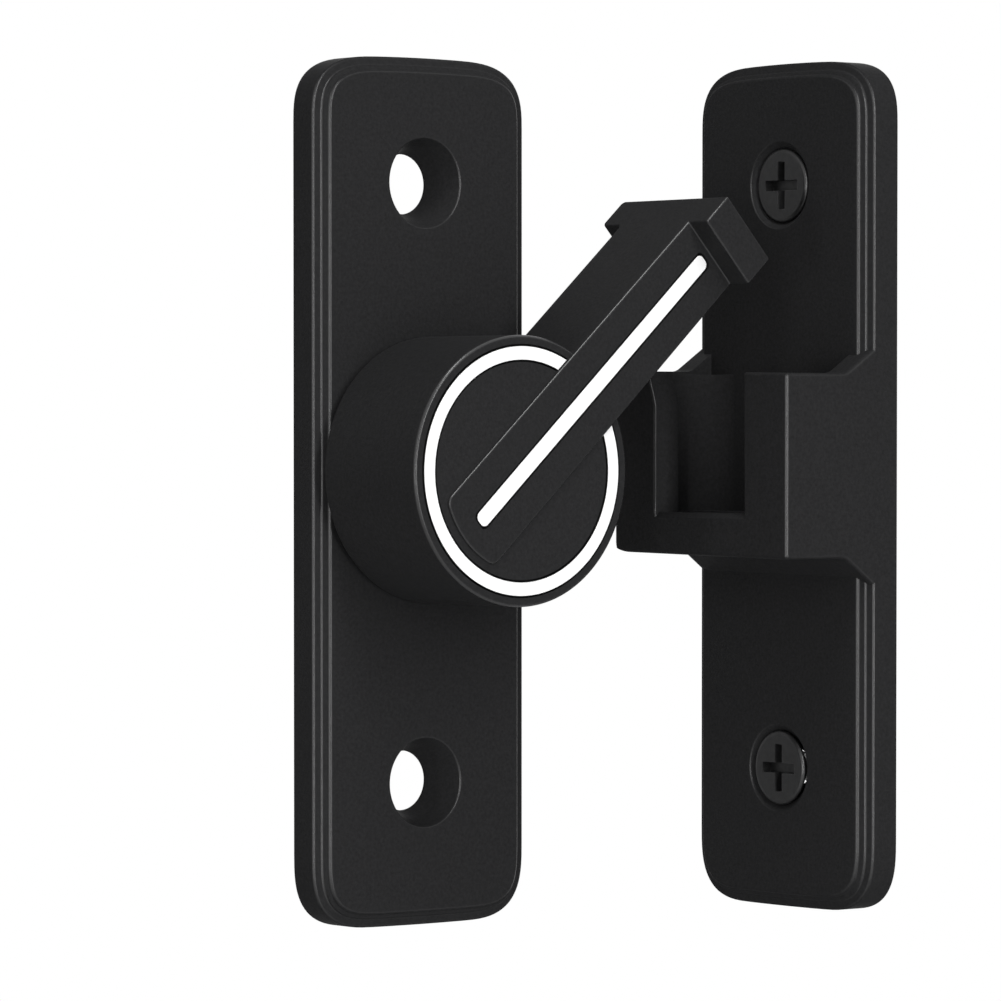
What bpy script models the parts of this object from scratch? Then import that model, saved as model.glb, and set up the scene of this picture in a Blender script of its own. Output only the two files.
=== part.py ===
"""Right-angle flip latch for a sliding barn door.

A lock plate carries a turning knob, and the arm cast with the knob ends in a T head.
A catch plate stands at a right angle beside it, and the T head drops into its T slot.

Every casting is modelled in plate coordinates: X across the plate, Y up the plate and
Z out of the wall, with the back of the plate at Z = 0. An empty then turns each group
to its place. The origin is the point where the knob's axis meets the lock plate's back.
All sizes are in metres.
"""

import math

import bmesh
import bpy
from mathutils import Matrix

# Plates: the lock plate and the catch plate are the same stepped moulding
PLATE_WIDTH = 0.0292
PLATE_TOP = 0.0451              # from the pivot's height to the top edge
PLATE_BOTTOM = 0.04995          # from the pivot's height to the bottom edge
PLATE_THICK = 0.00455           # back to the raised face
SIDE_HEIGHT = 0.0035            # back to the outer ledge
LEDGE_WIDTH = 0.00105
LEDGE_RISE = 0.0002             # the ledge climbs a little towards the step
STEP_DRAFT = 0.0004             # how far the step's wall leans in
EDGE_ROUND = 0.0003
FOOT_ROUND = 0.0003
FACE_ROUND = 0.00045
TOP_CORNER = (0.0090, 0.0070)   # reach of the upper corners' curve, across and down
BOTTOM_CORNER = (0.0084, 0.0081)
CORNER_POWER = 3.0              # 2 is an ellipse, and more is squarer
TOP_CROWN = 0.00044             # rise of the top edge at its middle
BOTTOM_CROWN = 0.0002

# Screw holes of both plates
UPPER_HOLE = 0.0314             # above the pivot's height
LOWER_HOLE = -0.03425
HOLE_RADIUS = 0.0033
RIM_RADIUS = 0.0049
SINK_DEPTH = 0.0019

# Where the catch stands beside the lock plate
CATCH_BACK = 0.0465             # knob's axis to the catch plate's back
CATCH_MIDDLE = 0.0156           # wall to the middle of the catch plate
CATCH_LIFT = 0.0005             # the catch hangs this much higher than the lock plate

# Catch: the T-slotted block cast on its plate
BLOCK_FRONT = 0.01645           # back of the plate to the block's face
BLOCK_TOP = 0.01015
BLOCK_BOTTOM = -0.0103
FAR_RISE = 0.0004               # the block stands this much higher next to the wall
GUSSET_REACH = 0.0076           # back of the plate to where the gussets leave the block
GUSSET_RISE = 0.0027
FOOT_DROP = 0.0030              # the sloping underside, down the plate
BLOCK_ROUND = 0.0004
FAR_CORNER_ROUND = 0.0013       # front corner under the slot, next to the wall
GUSSET_ROUND = 0.0012           # where the gussets leave the block
SLOT_WIDTH = 0.0151
SLOT_SIDE_WALL = 0.0030
LIP_THICK = 0.0035
SLOT_FLOOR = -0.00535
FLOOR_LEAD = 0.0006             # lead-in at the floor's front edge
MOUTH_FLARE = 0.0010            # of the lip next to the wall
MOUTH_DEPTH = 0.0036
LIP_LEAD = 0.0008               # lead-in behind the lips, where the head swings past

# Knob: a cup turned towards the wall, with the pivot hub in its middle
KNOB_RADIUS = 0.0146
KNOB_LIFT = 0.0008              # raised face of the plate to the cup's rim
KNOB_FACE = 0.0214              # wall to the knob's face
KNOB_WALL = 0.0022
KNOB_FRONT_WALL = 0.0030
KNOB_EDGE = 0.00035
KNOB_BACK_EDGE = 0.0005
HUB_RADIUS = 0.0060
SPIGOT_RADIUS = 0.0040
PILOT_DEPTH = 0.0115            # tapped hole for the pivot screw, from the spigot's end

# White inlays, each set a little below the metal around it
RING_INNER = 0.01186
RING_OUTER = 0.01346
STRIPE_START = -0.00815
STRIPE_END = 0.03425
STRIPE_WIDTH = 0.00205
STRIPE_END_ROUND = 0.0006
INLAY_DEPTH = 0.0010
INLAY_SINK = 0.00015
INLAY_GAP = 0.0001
RING_END_MARGIN = 0.00025       # metal left between the ring's ends and the bar

# Arm: a raised bar over the knob's face that runs on as the arm to the T head
REST_ANGLE = 42.2               # degrees above level, as stored
BAR_LIFT = 0.00035              # bar's face above the knob's face
BAR_START = -0.0100
BAR_START_WIDTH = 0.0095
BAR_END_WIDTH = 0.0091
BAR_CORNER = 0.0012
ARM_BACK = 0.0102               # wall to the arm's rear face
HEAD_START = 0.03545            # knob's axis to the head's inner face
HEAD_END = 0.03960
HEAD_FRONT = 0.0248             # wall to the front of the head
HEAD_BACK = 0.0069
HEAD_FRONT_ROUND = 0.0002
HEAD_BACK_ROUND = 0.0006
FRONT_FOOT_ROUND = 0.0002       # hollow curves where the arm meets the head
BACK_FOOT_ROUND = 0.0007
ARM_ROUND = 0.00025

# Pivot: bush in the plate's web, and the parts in the recess behind it
PIVOT_WEB = 0.0015
RECESS_RADIUS = 0.0076
RUNNING_GAP = 0.00025
SEAT_GAP = 0.0002
BUSH_WALL = 0.0007
BUSH_FLANGE = 0.0007
BUSH_FLANGE_RADIUS = 0.0062
WASHER_RADIUS = 0.0066
WASHER_THICK = 0.0008
WAVE_SHEET = 0.0002
WAVE_HEIGHT = 0.0001            # crest above the washer's middle plane
WAVE_COUNT = 3
PIVOT_SCREW_RADIUS = 0.0019
PIVOT_SCREW_HEAD = 0.0038
PIVOT_SCREW_HEAD_THICK = 0.00085
PIVOT_SCREW_LENGTH = 0.0110
SCREW_CLEARANCE = 0.0003

# Stop and click inside the knob
TRACK_RADIUS = 0.0092
STOP_RADIUS = 0.0013
STOP_HEIGHT = 0.0030            # above the plate's raised face
STOP_ANGLE = 90.0
STOP_GAP = 0.0003
RIB_THICK = 0.0016
RIB_LIFT = 0.0014               # plate's raised face to the ribs and pocket bosses
POCKET_BOSS = 0.0033
POCKET_WALL_GAP = 0.00025
POCKET_DEPTH = 0.0080
BALL_RADIUS = 0.0020
BALL_SEAT_GAP = 0.0003
BALL_ANGLES = (135.0, 225.0)    # in the arm's own frame
DIMPLE_ANGLES = (45.0, 135.0, 225.0, 315.0)
DIMPLE_DEPTH = 0.0005
DIMPLE_RADIUS = 0.0023
SPRING_WIRE = 0.00025
SPRING_TURNS = 4.5

# Wood screws that hold the catch
SCREW_HEAD_RADIUS = 0.0042
SCREW_HEAD_SINK = 0.0003
SCREW_HEAD_LAND = 0.00025       # height of the head's rounded rim
SCREW_HEAD_ROUND = 0.00045      # and its width
SCREW_SHANK_RADIUS = 0.0020
SCREW_LENGTH = 0.0160
SCREW_POINT = 0.0030
CROSS_WIDTH = 0.0056
CROSS_ARM = 0.00115
CROSS_DEPTH = 0.0011
CROSS_DRAFT = 0.25              # how far the recess narrows for each part of its depth

# Smoothness
KNOB_STEPS = 72
SMALL_STEPS = 40
CORNER_STEPS = 9
ROUND_STEPS = 3
BLOCK_ROUND_STEPS = 4

POWDER_BLACK = (0.028, 0.028, 0.029, 1.0)
WHITE_PLASTIC = (0.93, 0.93, 0.93, 1.0)
ZINC_PLATE = (0.55, 0.56, 0.58, 1.0)
SPRING_STEEL = (0.42, 0.43, 0.45, 1.0)
NYLON = (0.80, 0.79, 0.74, 1.0)
BLACK_SCREW = (0.035, 0.035, 0.036, 1.0)

# Heights that follow from the sizes above
STEP_INSET = LEDGE_WIDTH + STEP_DRAFT
BAR_FACE = KNOB_FACE + BAR_LIFT
KNOB_BACK = PLATE_THICK + KNOB_LIFT
CUP_RADIUS = KNOB_RADIUS - KNOB_WALL
CUP_CEILING = KNOB_FACE - KNOB_FRONT_WALL
WEB_BACK = PLATE_THICK - PIVOT_WEB
SLEEVE_INNER = SPIGOT_RADIUS + RUNNING_GAP
SLEEVE_OUTER = SLEEVE_INNER + BUSH_WALL
BORE_RADIUS = SLEEVE_OUTER + RUNNING_GAP
FLANGE_BACK = PLATE_THICK + SEAT_GAP
HUB_SHOULDER = FLANGE_BACK + BUSH_FLANGE + SEAT_GAP
WAVE_MIDDLE = WEB_BACK - SEAT_GAP - WAVE_HEIGHT - WAVE_SHEET / 2
WASHER_FRONT = WAVE_MIDDLE - WAVE_SHEET / 2 - WAVE_HEIGHT - SEAT_GAP
SPIGOT_END = WASHER_FRONT + SEAT_GAP
WASHER_BACK = WASHER_FRONT - WASHER_THICK
PILOT_RADIUS = PIVOT_SCREW_RADIUS + SCREW_CLEARANCE
RIB_BACK = PLATE_THICK + RIB_LIFT
POCKET_RADIUS = BALL_RADIUS + POCKET_WALL_GAP
BALL_HEIGHT = PLATE_THICK + BALL_SEAT_GAP + BALL_RADIUS
OVERRUN = 0.001                 # how far a cutter runs past the face it opens


def clear_scene():
    for obj in list(bpy.data.objects):
        bpy.data.objects.remove(obj, do_unlink=True)


def new_collection(name):
    group = bpy.data.collections.new(name)
    bpy.context.scene.collection.children.link(group)
    return group


def new_material(name, colour, roughness, metallic):
    material = bpy.data.materials.new(name)
    material.use_nodes = True
    shader = material.node_tree.nodes["Principled BSDF"]
    shader.inputs["Base Color"].default_value = colour
    shader.inputs["Roughness"].default_value = roughness
    shader.inputs["Metallic"].default_value = metallic
    material.diffuse_color = colour
    return material


def new_object(name, mesh, group, parent):
    obj = bpy.data.objects.new(name, mesh)
    group.objects.link(obj)
    obj.parent = parent
    return obj


def as_mesh(obj, name):
    """Replaces an object with the mesh that its modifiers make, its ends welded."""
    bpy.context.view_layer.update()
    graph = bpy.context.evaluated_depsgraph_get()
    mesh = bpy.data.meshes.new_from_object(obj.evaluated_get(graph))
    mesh.name = name
    bm = bmesh.new()
    bm.from_mesh(mesh)
    bmesh.ops.remove_doubles(bm, verts=bm.verts, dist=1e-6)
    bm.to_mesh(mesh)
    bm.free()
    bpy.data.objects.remove(obj, do_unlink=True)
    return mesh


def slab(name, outline, low, high, plane="XY"):
    """A flat outline given in one plane, thickened from low to high across it."""
    curve = bpy.data.curves.new(name, "CURVE")
    curve.dimensions = "2D"
    curve.fill_mode = "BOTH"
    curve.extrude = (high - low) / 2
    spline = curve.splines.new("POLY")
    spline.points.add(len(outline) - 1)
    for point, (a, b) in zip(spline.points, outline):
        point.co = (a, b, 0.0, 1.0)
    spline.use_cyclic_u = True
    obj = bpy.data.objects.new(name, curve)
    bpy.context.scene.collection.objects.link(obj)
    mesh = as_mesh(obj, name)
    mesh.transform(Matrix.Translation((0, 0, (high + low) / 2)))
    turns = {"XY": Matrix.Identity(4),
             "YZ": Matrix(((0, 0, 1, 0), (1, 0, 0, 0), (0, 1, 0, 0), (0, 0, 0, 1))),
             "ZX": Matrix(((0, 1, 0, 0), (0, 0, 1, 0), (1, 0, 0, 0), (0, 0, 0, 1)))}
    mesh.transform(turns[plane])
    return mesh


def turned(name, profile, steps=SMALL_STEPS):
    """A profile of (radius, height), run down its outer side, turned round Z."""
    bm = bmesh.new()
    points = [bm.verts.new((radius, 0.0, height)) for radius, height in profile]
    for first, second in zip(points, points[1:]):
        bm.edges.new((first, second))
    if profile[0][0] > 0 or profile[-1][0] > 0:
        bm.edges.new((points[-1], points[0]))
    mesh = bpy.data.meshes.new(name)
    bm.to_mesh(mesh)
    bm.free()
    obj = bpy.data.objects.new(name, mesh)
    bpy.context.scene.collection.objects.link(obj)
    screw = obj.modifiers.new("turn", "SCREW")
    screw.steps = screw.render_steps = steps
    screw.use_merge_vertices = True
    screw.merge_threshold = 1e-5
    return as_mesh(obj, name)


def cylinder(name, radius, low, high, at=(0.0, 0.0), steps=SMALL_STEPS):
    bm = bmesh.new()
    place = Matrix.Translation((at[0], at[1], (low + high) / 2))
    bmesh.ops.create_cone(bm, cap_ends=True, segments=steps, radius1=radius,
                          radius2=radius, depth=high - low, matrix=place)
    mesh = bpy.data.meshes.new(name)
    bm.to_mesh(mesh)
    bm.free()
    return mesh


def ball(name, radius, at, steps=24):
    bm = bmesh.new()
    bmesh.ops.create_uvsphere(bm, u_segments=steps, v_segments=steps // 2,
                              radius=radius, matrix=Matrix.Translation(at))
    mesh = bpy.data.meshes.new(name)
    bm.to_mesh(mesh)
    bm.free()
    return mesh


def arc(centre, radius, start, end, steps):
    """Points of an arc, in degrees from the first axis towards the second."""
    points = []
    for i in range(steps + 1):
        angle = math.radians(start + (end - start) * i / steps)
        points.append((centre[0] + radius * math.cos(angle),
                       centre[1] + radius * math.sin(angle)))
    return points


def polar(radius, degrees):
    angle = math.radians(degrees)
    return radius * math.cos(angle), radius * math.sin(angle)


def bevelled(obj, width, segments=2, limit=50):
    bevel = obj.modifiers.new("edges", "BEVEL")
    bevel.width = width
    bevel.segments = segments
    bevel.limit_method = "ANGLE"
    bevel.angle_limit = math.radians(limit)
    bevel.use_clamp_overlap = True


class Latch:
    """The collections, and the modifiers that join and cut its pieces."""

    def __init__(self):
        self.parts = new_collection("barn_door_latch")
        self.tools = new_collection("cutters")

    def empty(self, name, place=(0, 0, 0), turn=(0, 0, 0), parent=None):
        obj = new_object(name, None, self.parts, parent)
        obj.location = place
        obj.rotation_euler = [math.radians(angle) for angle in turn]
        obj.empty_display_size = 0.01
        return obj

    def part(self, name, mesh, material, parent):
        obj = new_object(name, mesh, self.parts, parent)
        mesh.materials.clear()
        mesh.materials.append(material)
        return obj

    def tool(self, mesh, parent):
        obj = new_object(mesh.name, mesh, self.tools, parent)
        obj.hide_render = True
        obj.display_type = "WIRE"
        return obj

    def combine(self, obj, tool, operation):
        boolean = obj.modifiers.new(f"{operation.lower()} {tool.name}", "BOOLEAN")
        boolean.operation = operation
        boolean.object = tool

    def join(self, obj, mesh):
        tool = self.tool(mesh, obj.parent)
        self.combine(obj, tool, "UNION")
        return tool

    def cut(self, obj, mesh):
        tool = self.tool(mesh, obj.parent)
        self.combine(obj, tool, "DIFFERENCE")
        return tool


def shade_round(obj, angle=35):
    obj.data.shade_smooth()
    obj.data.set_sharp_from_angle(angle=math.radians(angle))


def soft_corner(centre, reach, start):
    """A quarter turn from start degrees on, whose curve begins and ends gently."""
    points = []
    for i in range(CORNER_STEPS + 1):
        angle = math.radians(start + 90 * i / CORNER_STEPS)
        point = []
        for middle, span, part in zip(centre, reach, (math.cos(angle), math.sin(angle))):
            part = round(part, 9)
            point.append(middle + math.copysign(span * abs(part)**(2 / CORNER_POWER), part))
        points.append(tuple(point))
    return points


def plate_outline():
    """The plate from the front: soft corners, and a slight crown at both ends."""
    half = PLATE_WIDTH / 2
    (top_x, top_y), (low_x, low_y) = TOP_CORNER, BOTTOM_CORNER
    top, bottom = PLATE_TOP, -PLATE_BOTTOM
    flat = (half - max(top_x, low_x)) / 2
    points = (soft_corner((half - top_x, top - top_y), TOP_CORNER, 0)
              + [(flat, top), (0.0, top), (-flat, top)]
              + soft_corner((-half + top_x, top - top_y), TOP_CORNER, 90)
              + soft_corner((-half + low_x, bottom + low_y), BOTTOM_CORNER, 180)
              + [(-flat, bottom), (0.0, bottom), (flat, bottom)]
              + soft_corner((half - low_x, bottom + low_y), BOTTOM_CORNER, 270))
    crowned = []
    for x, y in points:
        crown = -TOP_CROWN if y > 0 else BOTTOM_CROWN
        crowned.append((x, y + crown * (x / half)**2))
    return crowned


def plate_section():
    """The moulding's section as (inset from the outline, height above the back)."""
    foot = SIDE_HEIGHT + LEDGE_RISE
    outer = arc((EDGE_ROUND, SIDE_HEIGHT - EDGE_ROUND), EDGE_ROUND, 180, 90, ROUND_STEPS)
    inner = arc((LEDGE_WIDTH - FOOT_ROUND, foot + FOOT_ROUND), FOOT_ROUND, 270, 360,
                ROUND_STEPS)
    face = arc((STEP_INSET + FACE_ROUND, PLATE_THICK - FACE_ROUND), FACE_ROUND, 180, 90,
               ROUND_STEPS + 1)
    return outer + inner + face


def plate_mesh(name):
    """The outline drawn out to its section by one inset of its face after another."""
    bm = bmesh.new()
    back = bm.faces.new([bm.verts.new((x, y, 0.0)) for x, y in plate_outline()])
    back.normal_update()
    grown = bmesh.ops.extrude_face_region(bm, geom=[back])["geom"]
    face = next(item for item in grown if isinstance(item, bmesh.types.BMFace))
    section = plate_section()
    bmesh.ops.translate(bm, verts=face.verts, vec=(0, 0, section[0][1]))
    bmesh.ops.recalc_face_normals(bm, faces=bm.faces)
    for (inset, height), (next_inset, next_height) in zip(section, section[1:]):
        bmesh.ops.inset_individual(bm, faces=[face], thickness=next_inset - inset,
                                   depth=next_height - height, use_even_offset=True)
    bmesh.ops.recalc_face_normals(bm, faces=bm.faces)
    mesh = bpy.data.meshes.new(name)
    bm.to_mesh(mesh)
    bm.free()
    return mesh


def screw_hole(name, height):
    """A countersunk hole through the plate, its rim at the raised face."""
    slope = (RIM_RADIUS - HOLE_RADIUS) / SINK_DEPTH
    above = PLATE_THICK + OVERRUN
    profile = [(0, above), (RIM_RADIUS + slope * OVERRUN, above),
               (HOLE_RADIUS, PLATE_THICK - SINK_DEPTH), (HOLE_RADIUS, -OVERRUN),
               (0, -OVERRUN)]
    mesh = turned(name, profile)
    mesh.transform(Matrix.Translation((0, height, 0)))
    return mesh


def build_plate(latch, name, material, parent):
    plate = latch.part(name, plate_mesh(name), material, parent)
    latch.cut(plate, screw_hole(name + "_upper_hole", UPPER_HOLE))
    latch.cut(plate, screw_hole(name + "_lower_hole", LOWER_HOLE))
    return plate


def build_lock_plate(latch, material, parent):
    plate = build_plate(latch, "lock_plate", material, parent)
    latch.cut(plate, cylinder("pivot_bore", BORE_RADIUS, -OVERRUN, PLATE_THICK + OVERRUN))
    latch.cut(plate, cylinder("pivot_recess", RECESS_RADIUS, -OVERRUN, WEB_BACK))
    centre = PLATE_THICK - DIMPLE_DEPTH + DIMPLE_RADIUS
    for i, angle in enumerate(DIMPLE_ANGLES, 1):
        x, y = polar(TRACK_RADIUS, angle)
        latch.cut(plate, ball(f"dimple_{i}", DIMPLE_RADIUS, (x, y, centre)))
    lug = cylinder("stop_lug", STOP_RADIUS, PLATE_THICK - OVERRUN, PLATE_THICK + STOP_HEIGHT,
                   polar(TRACK_RADIUS, STOP_ANGLE), steps=24)
    latch.join(plate, lug)
    return plate


def hollow(level, slope, side):
    """The hollow curve from the block's flat top or bottom into its sloping gusset."""
    turn = math.atan(slope)
    reach = GUSSET_ROUND * math.tan(turn / 2)
    points = []
    for i in range(ROUND_STEPS + 1):
        angle = turn * i / ROUND_STEPS
        points.append((level + side * GUSSET_ROUND * (1 - math.cos(angle)),
                       GUSSET_REACH + reach - GUSSET_ROUND * math.sin(angle)))
    return points


def block_outline():
    """The catch block seen from its side, as (height on the plate, height off the wall)."""
    inside_plate = SIDE_HEIGHT / 3
    reach = GUSSET_REACH - SIDE_HEIGHT
    top_slope, foot_slope = GUSSET_RISE / reach, FOOT_DROP / reach
    extra = SIDE_HEIGHT - inside_plate
    top_end = BLOCK_TOP + GUSSET_RISE
    foot_end = BLOCK_BOTTOM - FOOT_DROP
    top_turn = hollow(BLOCK_TOP, top_slope, 1)
    foot_turn = hollow(BLOCK_BOTTOM, foot_slope, -1)
    return ([(BLOCK_TOP, BLOCK_FRONT)] + top_turn
            + [(top_end, SIDE_HEIGHT), (top_end + top_slope * extra / 2, inside_plate),
               (foot_end - foot_slope * extra / 2, inside_plate), (foot_end, SIDE_HEIGHT)]
            + foot_turn[::-1] + [(BLOCK_BOTTOM, BLOCK_FRONT)])


def block_mesh():
    """The block, each sharp edge weighted by how far it is to be rounded."""
    half = PLATE_WIDTH / 2
    mesh = slab("catch_block", block_outline(), -half, half, "YZ")
    bm = bmesh.new()
    bm.from_mesh(mesh)
    bmesh.ops.dissolve_limit(bm, angle_limit=math.radians(0.1), verts=bm.verts,
                             edges=bm.edges)
    weight = bm.edges.layers.float.new("bevel_weight_edge")
    for edge in bm.edges:
        if edge.calc_face_angle(0.0) < math.radians(50):
            continue
        under_far = all(v.co.x < 0 and v.co.y < BLOCK_BOTTOM + BLOCK_ROUND for v in edge.verts)
        edge[weight] = 1.0 if under_far else BLOCK_ROUND / FAR_CORNER_ROUND
    for vert in bm.verts:
        if vert.co.x < 0:
            vert.co.y += FAR_RISE
    bm.to_mesh(mesh)
    bm.free()
    return mesh


def slot_outline():
    """The slot between the lips from the front, with the far lip's flared mouth."""
    half = SLOT_WIDTH / 2
    wide = half + MOUTH_FLARE
    above = BLOCK_TOP + OVERRUN
    return [(half, SLOT_FLOOR), (half, above), (-wide, above), (-wide, BLOCK_TOP),
            (-half, BLOCK_TOP - MOUTH_DEPTH), (-half, SLOT_FLOOR)]


def chamber_outline():
    """The room behind the lips, seen from the side, open at its top."""
    lip_back = BLOCK_FRONT - LIP_THICK
    above = BLOCK_TOP + 2 * GUSSET_RISE
    behind = PLATE_THICK - OVERRUN
    return [(SLOT_FLOOR, lip_back), (SLOT_FLOOR, behind), (above, behind),
            (above, lip_back + LIP_LEAD), (BLOCK_TOP, lip_back + LIP_LEAD),
            (BLOCK_TOP - LIP_LEAD, lip_back)]


def floor_lead_outline():
    front = BLOCK_FRONT + OVERRUN
    drop = FLOOR_LEAD * (1 + OVERRUN / FLOOR_LEAD)
    return [(SLOT_FLOOR, BLOCK_FRONT - FLOOR_LEAD), (SLOT_FLOOR - drop, front),
            (SLOT_FLOOR + OVERRUN, front), (SLOT_FLOOR + OVERRUN, BLOCK_FRONT - FLOOR_LEAD)]


def build_catch_plate(latch, material, parent):
    plate = build_plate(latch, "catch_plate", material, parent)
    half = PLATE_WIDTH / 2
    block = latch.join(plate, block_mesh())
    round_off = block.modifiers.new("edges", "BEVEL")
    round_off.width = FAR_CORNER_ROUND
    round_off.segments = BLOCK_ROUND_STEPS
    round_off.limit_method = "WEIGHT"
    round_off.use_clamp_overlap = False
    room = half - SLOT_SIDE_WALL
    lip = SLOT_WIDTH / 2
    latch.cut(block, slab("slot_mouth", slot_outline(), BLOCK_FRONT - LIP_THICK - OVERRUN,
                          BLOCK_FRONT + OVERRUN))
    latch.cut(block, slab("slot_chamber", chamber_outline(), -room, room, "YZ"))
    latch.cut(block, slab("floor_lead", floor_lead_outline(), -lip, lip, "YZ"))
    return plate


def knob_mesh():
    """The knob's cup with its hub and spigot, as one turned section."""
    rim = arc((KNOB_RADIUS - KNOB_EDGE, KNOB_FACE - KNOB_EDGE), KNOB_EDGE, 90, 0, ROUND_STEPS)
    back = arc((KNOB_RADIUS - KNOB_BACK_EDGE, KNOB_BACK + KNOB_BACK_EDGE), KNOB_BACK_EDGE,
               0, -90, ROUND_STEPS)
    pilot_end = SPIGOT_END + PILOT_DEPTH
    inside = [(CUP_RADIUS, KNOB_BACK), (CUP_RADIUS, CUP_CEILING), (HUB_RADIUS, CUP_CEILING),
              (HUB_RADIUS, HUB_SHOULDER), (SPIGOT_RADIUS, HUB_SHOULDER),
              (SPIGOT_RADIUS, SPIGOT_END), (PILOT_RADIUS, SPIGOT_END),
              (PILOT_RADIUS, pilot_end), (0, pilot_end)]
    return turned("lever", [(0, KNOB_FACE)] + rim + back + inside, KNOB_STEPS)


def bar_outline(margin=0.0):
    """The bar and arm seen from the front, tapered from the knob to the head."""
    start, end = BAR_START_WIDTH / 2 + margin, BAR_END_WIDTH / 2 + margin
    corner = BAR_CORNER
    inner = BAR_START - margin
    return (arc((inner + corner, start - corner), corner, 90, 180, ROUND_STEPS)
            + arc((inner + corner, -start + corner), corner, 180, 270, ROUND_STEPS)
            + [(HEAD_START, -end), (HEAD_END + OVERRUN, -end),
               (HEAD_END + OVERRUN, end), (HEAD_START, end)])


def arm_side_outline():
    """The arm seen from its side, as (height off the wall, distance along the arm)."""
    in_wall = (CUP_RADIUS + KNOB_RADIUS) / 2
    in_face = KNOB_FACE - KNOB_FRONT_WALL / 2
    front, rear = HEAD_FRONT_ROUND, HEAD_BACK_ROUND
    front_foot, rear_foot = FRONT_FOOT_ROUND, BACK_FOOT_ROUND
    turns = [((ARM_BACK - rear_foot, HEAD_START - rear_foot), rear_foot, 0, 90),
             ((HEAD_BACK + rear, HEAD_START + rear), rear, 270, 180),
             ((HEAD_BACK + rear, HEAD_END - rear), rear, 180, 90),
             ((HEAD_FRONT - front, HEAD_END - front), front, 90, 0),
             ((HEAD_FRONT - front, HEAD_START + front), front, 0, -90),
             ((BAR_FACE + front_foot, HEAD_START - front_foot), front_foot, 90, 180)]
    outline = [(in_face, BAR_START - OVERRUN), (in_face, in_wall), (ARM_BACK, in_wall)]
    for centre, radius, start, end in turns:
        outline += arc(centre, radius, start, end, ROUND_STEPS)
    return outline + [(BAR_FACE, BAR_START - OVERRUN)]


def ring_mesh(latch, name, inner, outer, low, high, margin, parent):
    """A flat ring that stops short of the bar at both of its ends."""
    profile = [(inner, high), (outer, high), (outer, low), (inner, low)]
    ring = latch.tool(turned(name, profile, KNOB_STEPS), parent)
    gap = latch.cut(ring, slab(name + "_gap", bar_outline(margin), low - OVERRUN,
                               high + OVERRUN))
    bpy.context.view_layer.update()
    mesh = as_mesh(ring, name)
    bpy.data.objects.remove(gap, do_unlink=True)
    return mesh


def stripe_outline(margin):
    half = STRIPE_WIDTH / 2 - margin
    corner = STRIPE_END_ROUND
    start, end = STRIPE_START + margin, STRIPE_END - margin
    return (arc((end - corner, half - corner), corner, 0, 90, ROUND_STEPS)
            + arc((start + corner, half - corner), corner, 90, 180, ROUND_STEPS)
            + arc((start + corner, -half + corner), corner, 180, 270, ROUND_STEPS)
            + arc((end - corner, -half + corner), corner, 270, 360, ROUND_STEPS))


def rib_mesh(name, angle):
    """A rib from the hub to the cup's wall, which meets the stop at its limit."""
    start, end = HUB_RADIUS - RIB_THICK / 2, CUP_RADIUS + KNOB_WALL / 4
    half = RIB_THICK / 2
    outline = [(start, -half), (end, -half), (end, half), (start, half)]
    mesh = slab(name, outline, RIB_BACK, CUP_CEILING + KNOB_FRONT_WALL / 4)
    mesh.transform(Matrix.Rotation(math.radians(angle), 4, "Z"))
    return mesh


def build_lever(latch, material, parent):
    lever = latch.part("lever", knob_mesh(), material, parent)
    reach = BAR_START_WIDTH
    arm = latch.join(lever, slab("arm", arm_side_outline(), -reach, reach, "ZX"))
    plan = latch.tool(slab("arm_plan", bar_outline(), 0, HEAD_FRONT + OVERRUN), parent)
    latch.combine(arm, plan, "INTERSECT")
    bevelled(arm, ARM_ROUND)

    swing = math.degrees(math.asin((STOP_RADIUS + RIB_THICK / 2 + STOP_GAP) / TRACK_RADIUS))
    latch.join(lever, rib_mesh("rib_latched", STOP_ANGLE + swing))
    latch.join(lever, rib_mesh("rib_open", STOP_ANGLE - swing - 180))
    for i, angle in enumerate(BALL_ANGLES, 1):
        at = polar(TRACK_RADIUS, angle)
        boss_end = CUP_CEILING + KNOB_FRONT_WALL / 3
        latch.join(lever, cylinder(f"pocket_boss_{i}", POCKET_BOSS, RIB_BACK, boss_end, at))
        latch.cut(lever, cylinder(f"pocket_{i}", POCKET_RADIUS, KNOB_BACK - OVERRUN,
                                  RIB_BACK + POCKET_DEPTH, at, steps=24))

    floor = KNOB_FACE - INLAY_DEPTH
    groove = ring_mesh(latch, "ring_groove", RING_INNER, RING_OUTER, floor,
                       KNOB_FACE + OVERRUN, RING_END_MARGIN, parent)
    latch.cut(lever, groove)
    latch.cut(lever, slab("stripe_groove", stripe_outline(0.0), BAR_FACE - INLAY_DEPTH,
                          BAR_FACE + OVERRUN))
    return lever


def build_inlays(latch, material, parent):
    ring = ring_mesh(latch, "ring_inlay", RING_INNER + INLAY_GAP, RING_OUTER - INLAY_GAP,
                     KNOB_FACE - INLAY_DEPTH + INLAY_GAP, KNOB_FACE - INLAY_SINK,
                     RING_END_MARGIN + INLAY_GAP, parent)
    latch.part("ring_inlay", ring, material, parent)
    stripe = slab("stripe_inlay", stripe_outline(INLAY_GAP),
                  BAR_FACE - INLAY_DEPTH + INLAY_GAP, BAR_FACE - INLAY_SINK)
    latch.part("stripe_inlay", stripe, material, parent)


def build_bush(latch, material, parent):
    front = FLANGE_BACK + BUSH_FLANGE
    profile = [(SLEEVE_INNER, front), (BUSH_FLANGE_RADIUS, front),
               (BUSH_FLANGE_RADIUS, FLANGE_BACK), (SLEEVE_OUTER, FLANGE_BACK),
               (SLEEVE_OUTER, WEB_BACK), (SLEEVE_INNER, WEB_BACK)]
    latch.part("pivot_bush", turned("pivot_bush", profile), material, parent)


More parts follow.
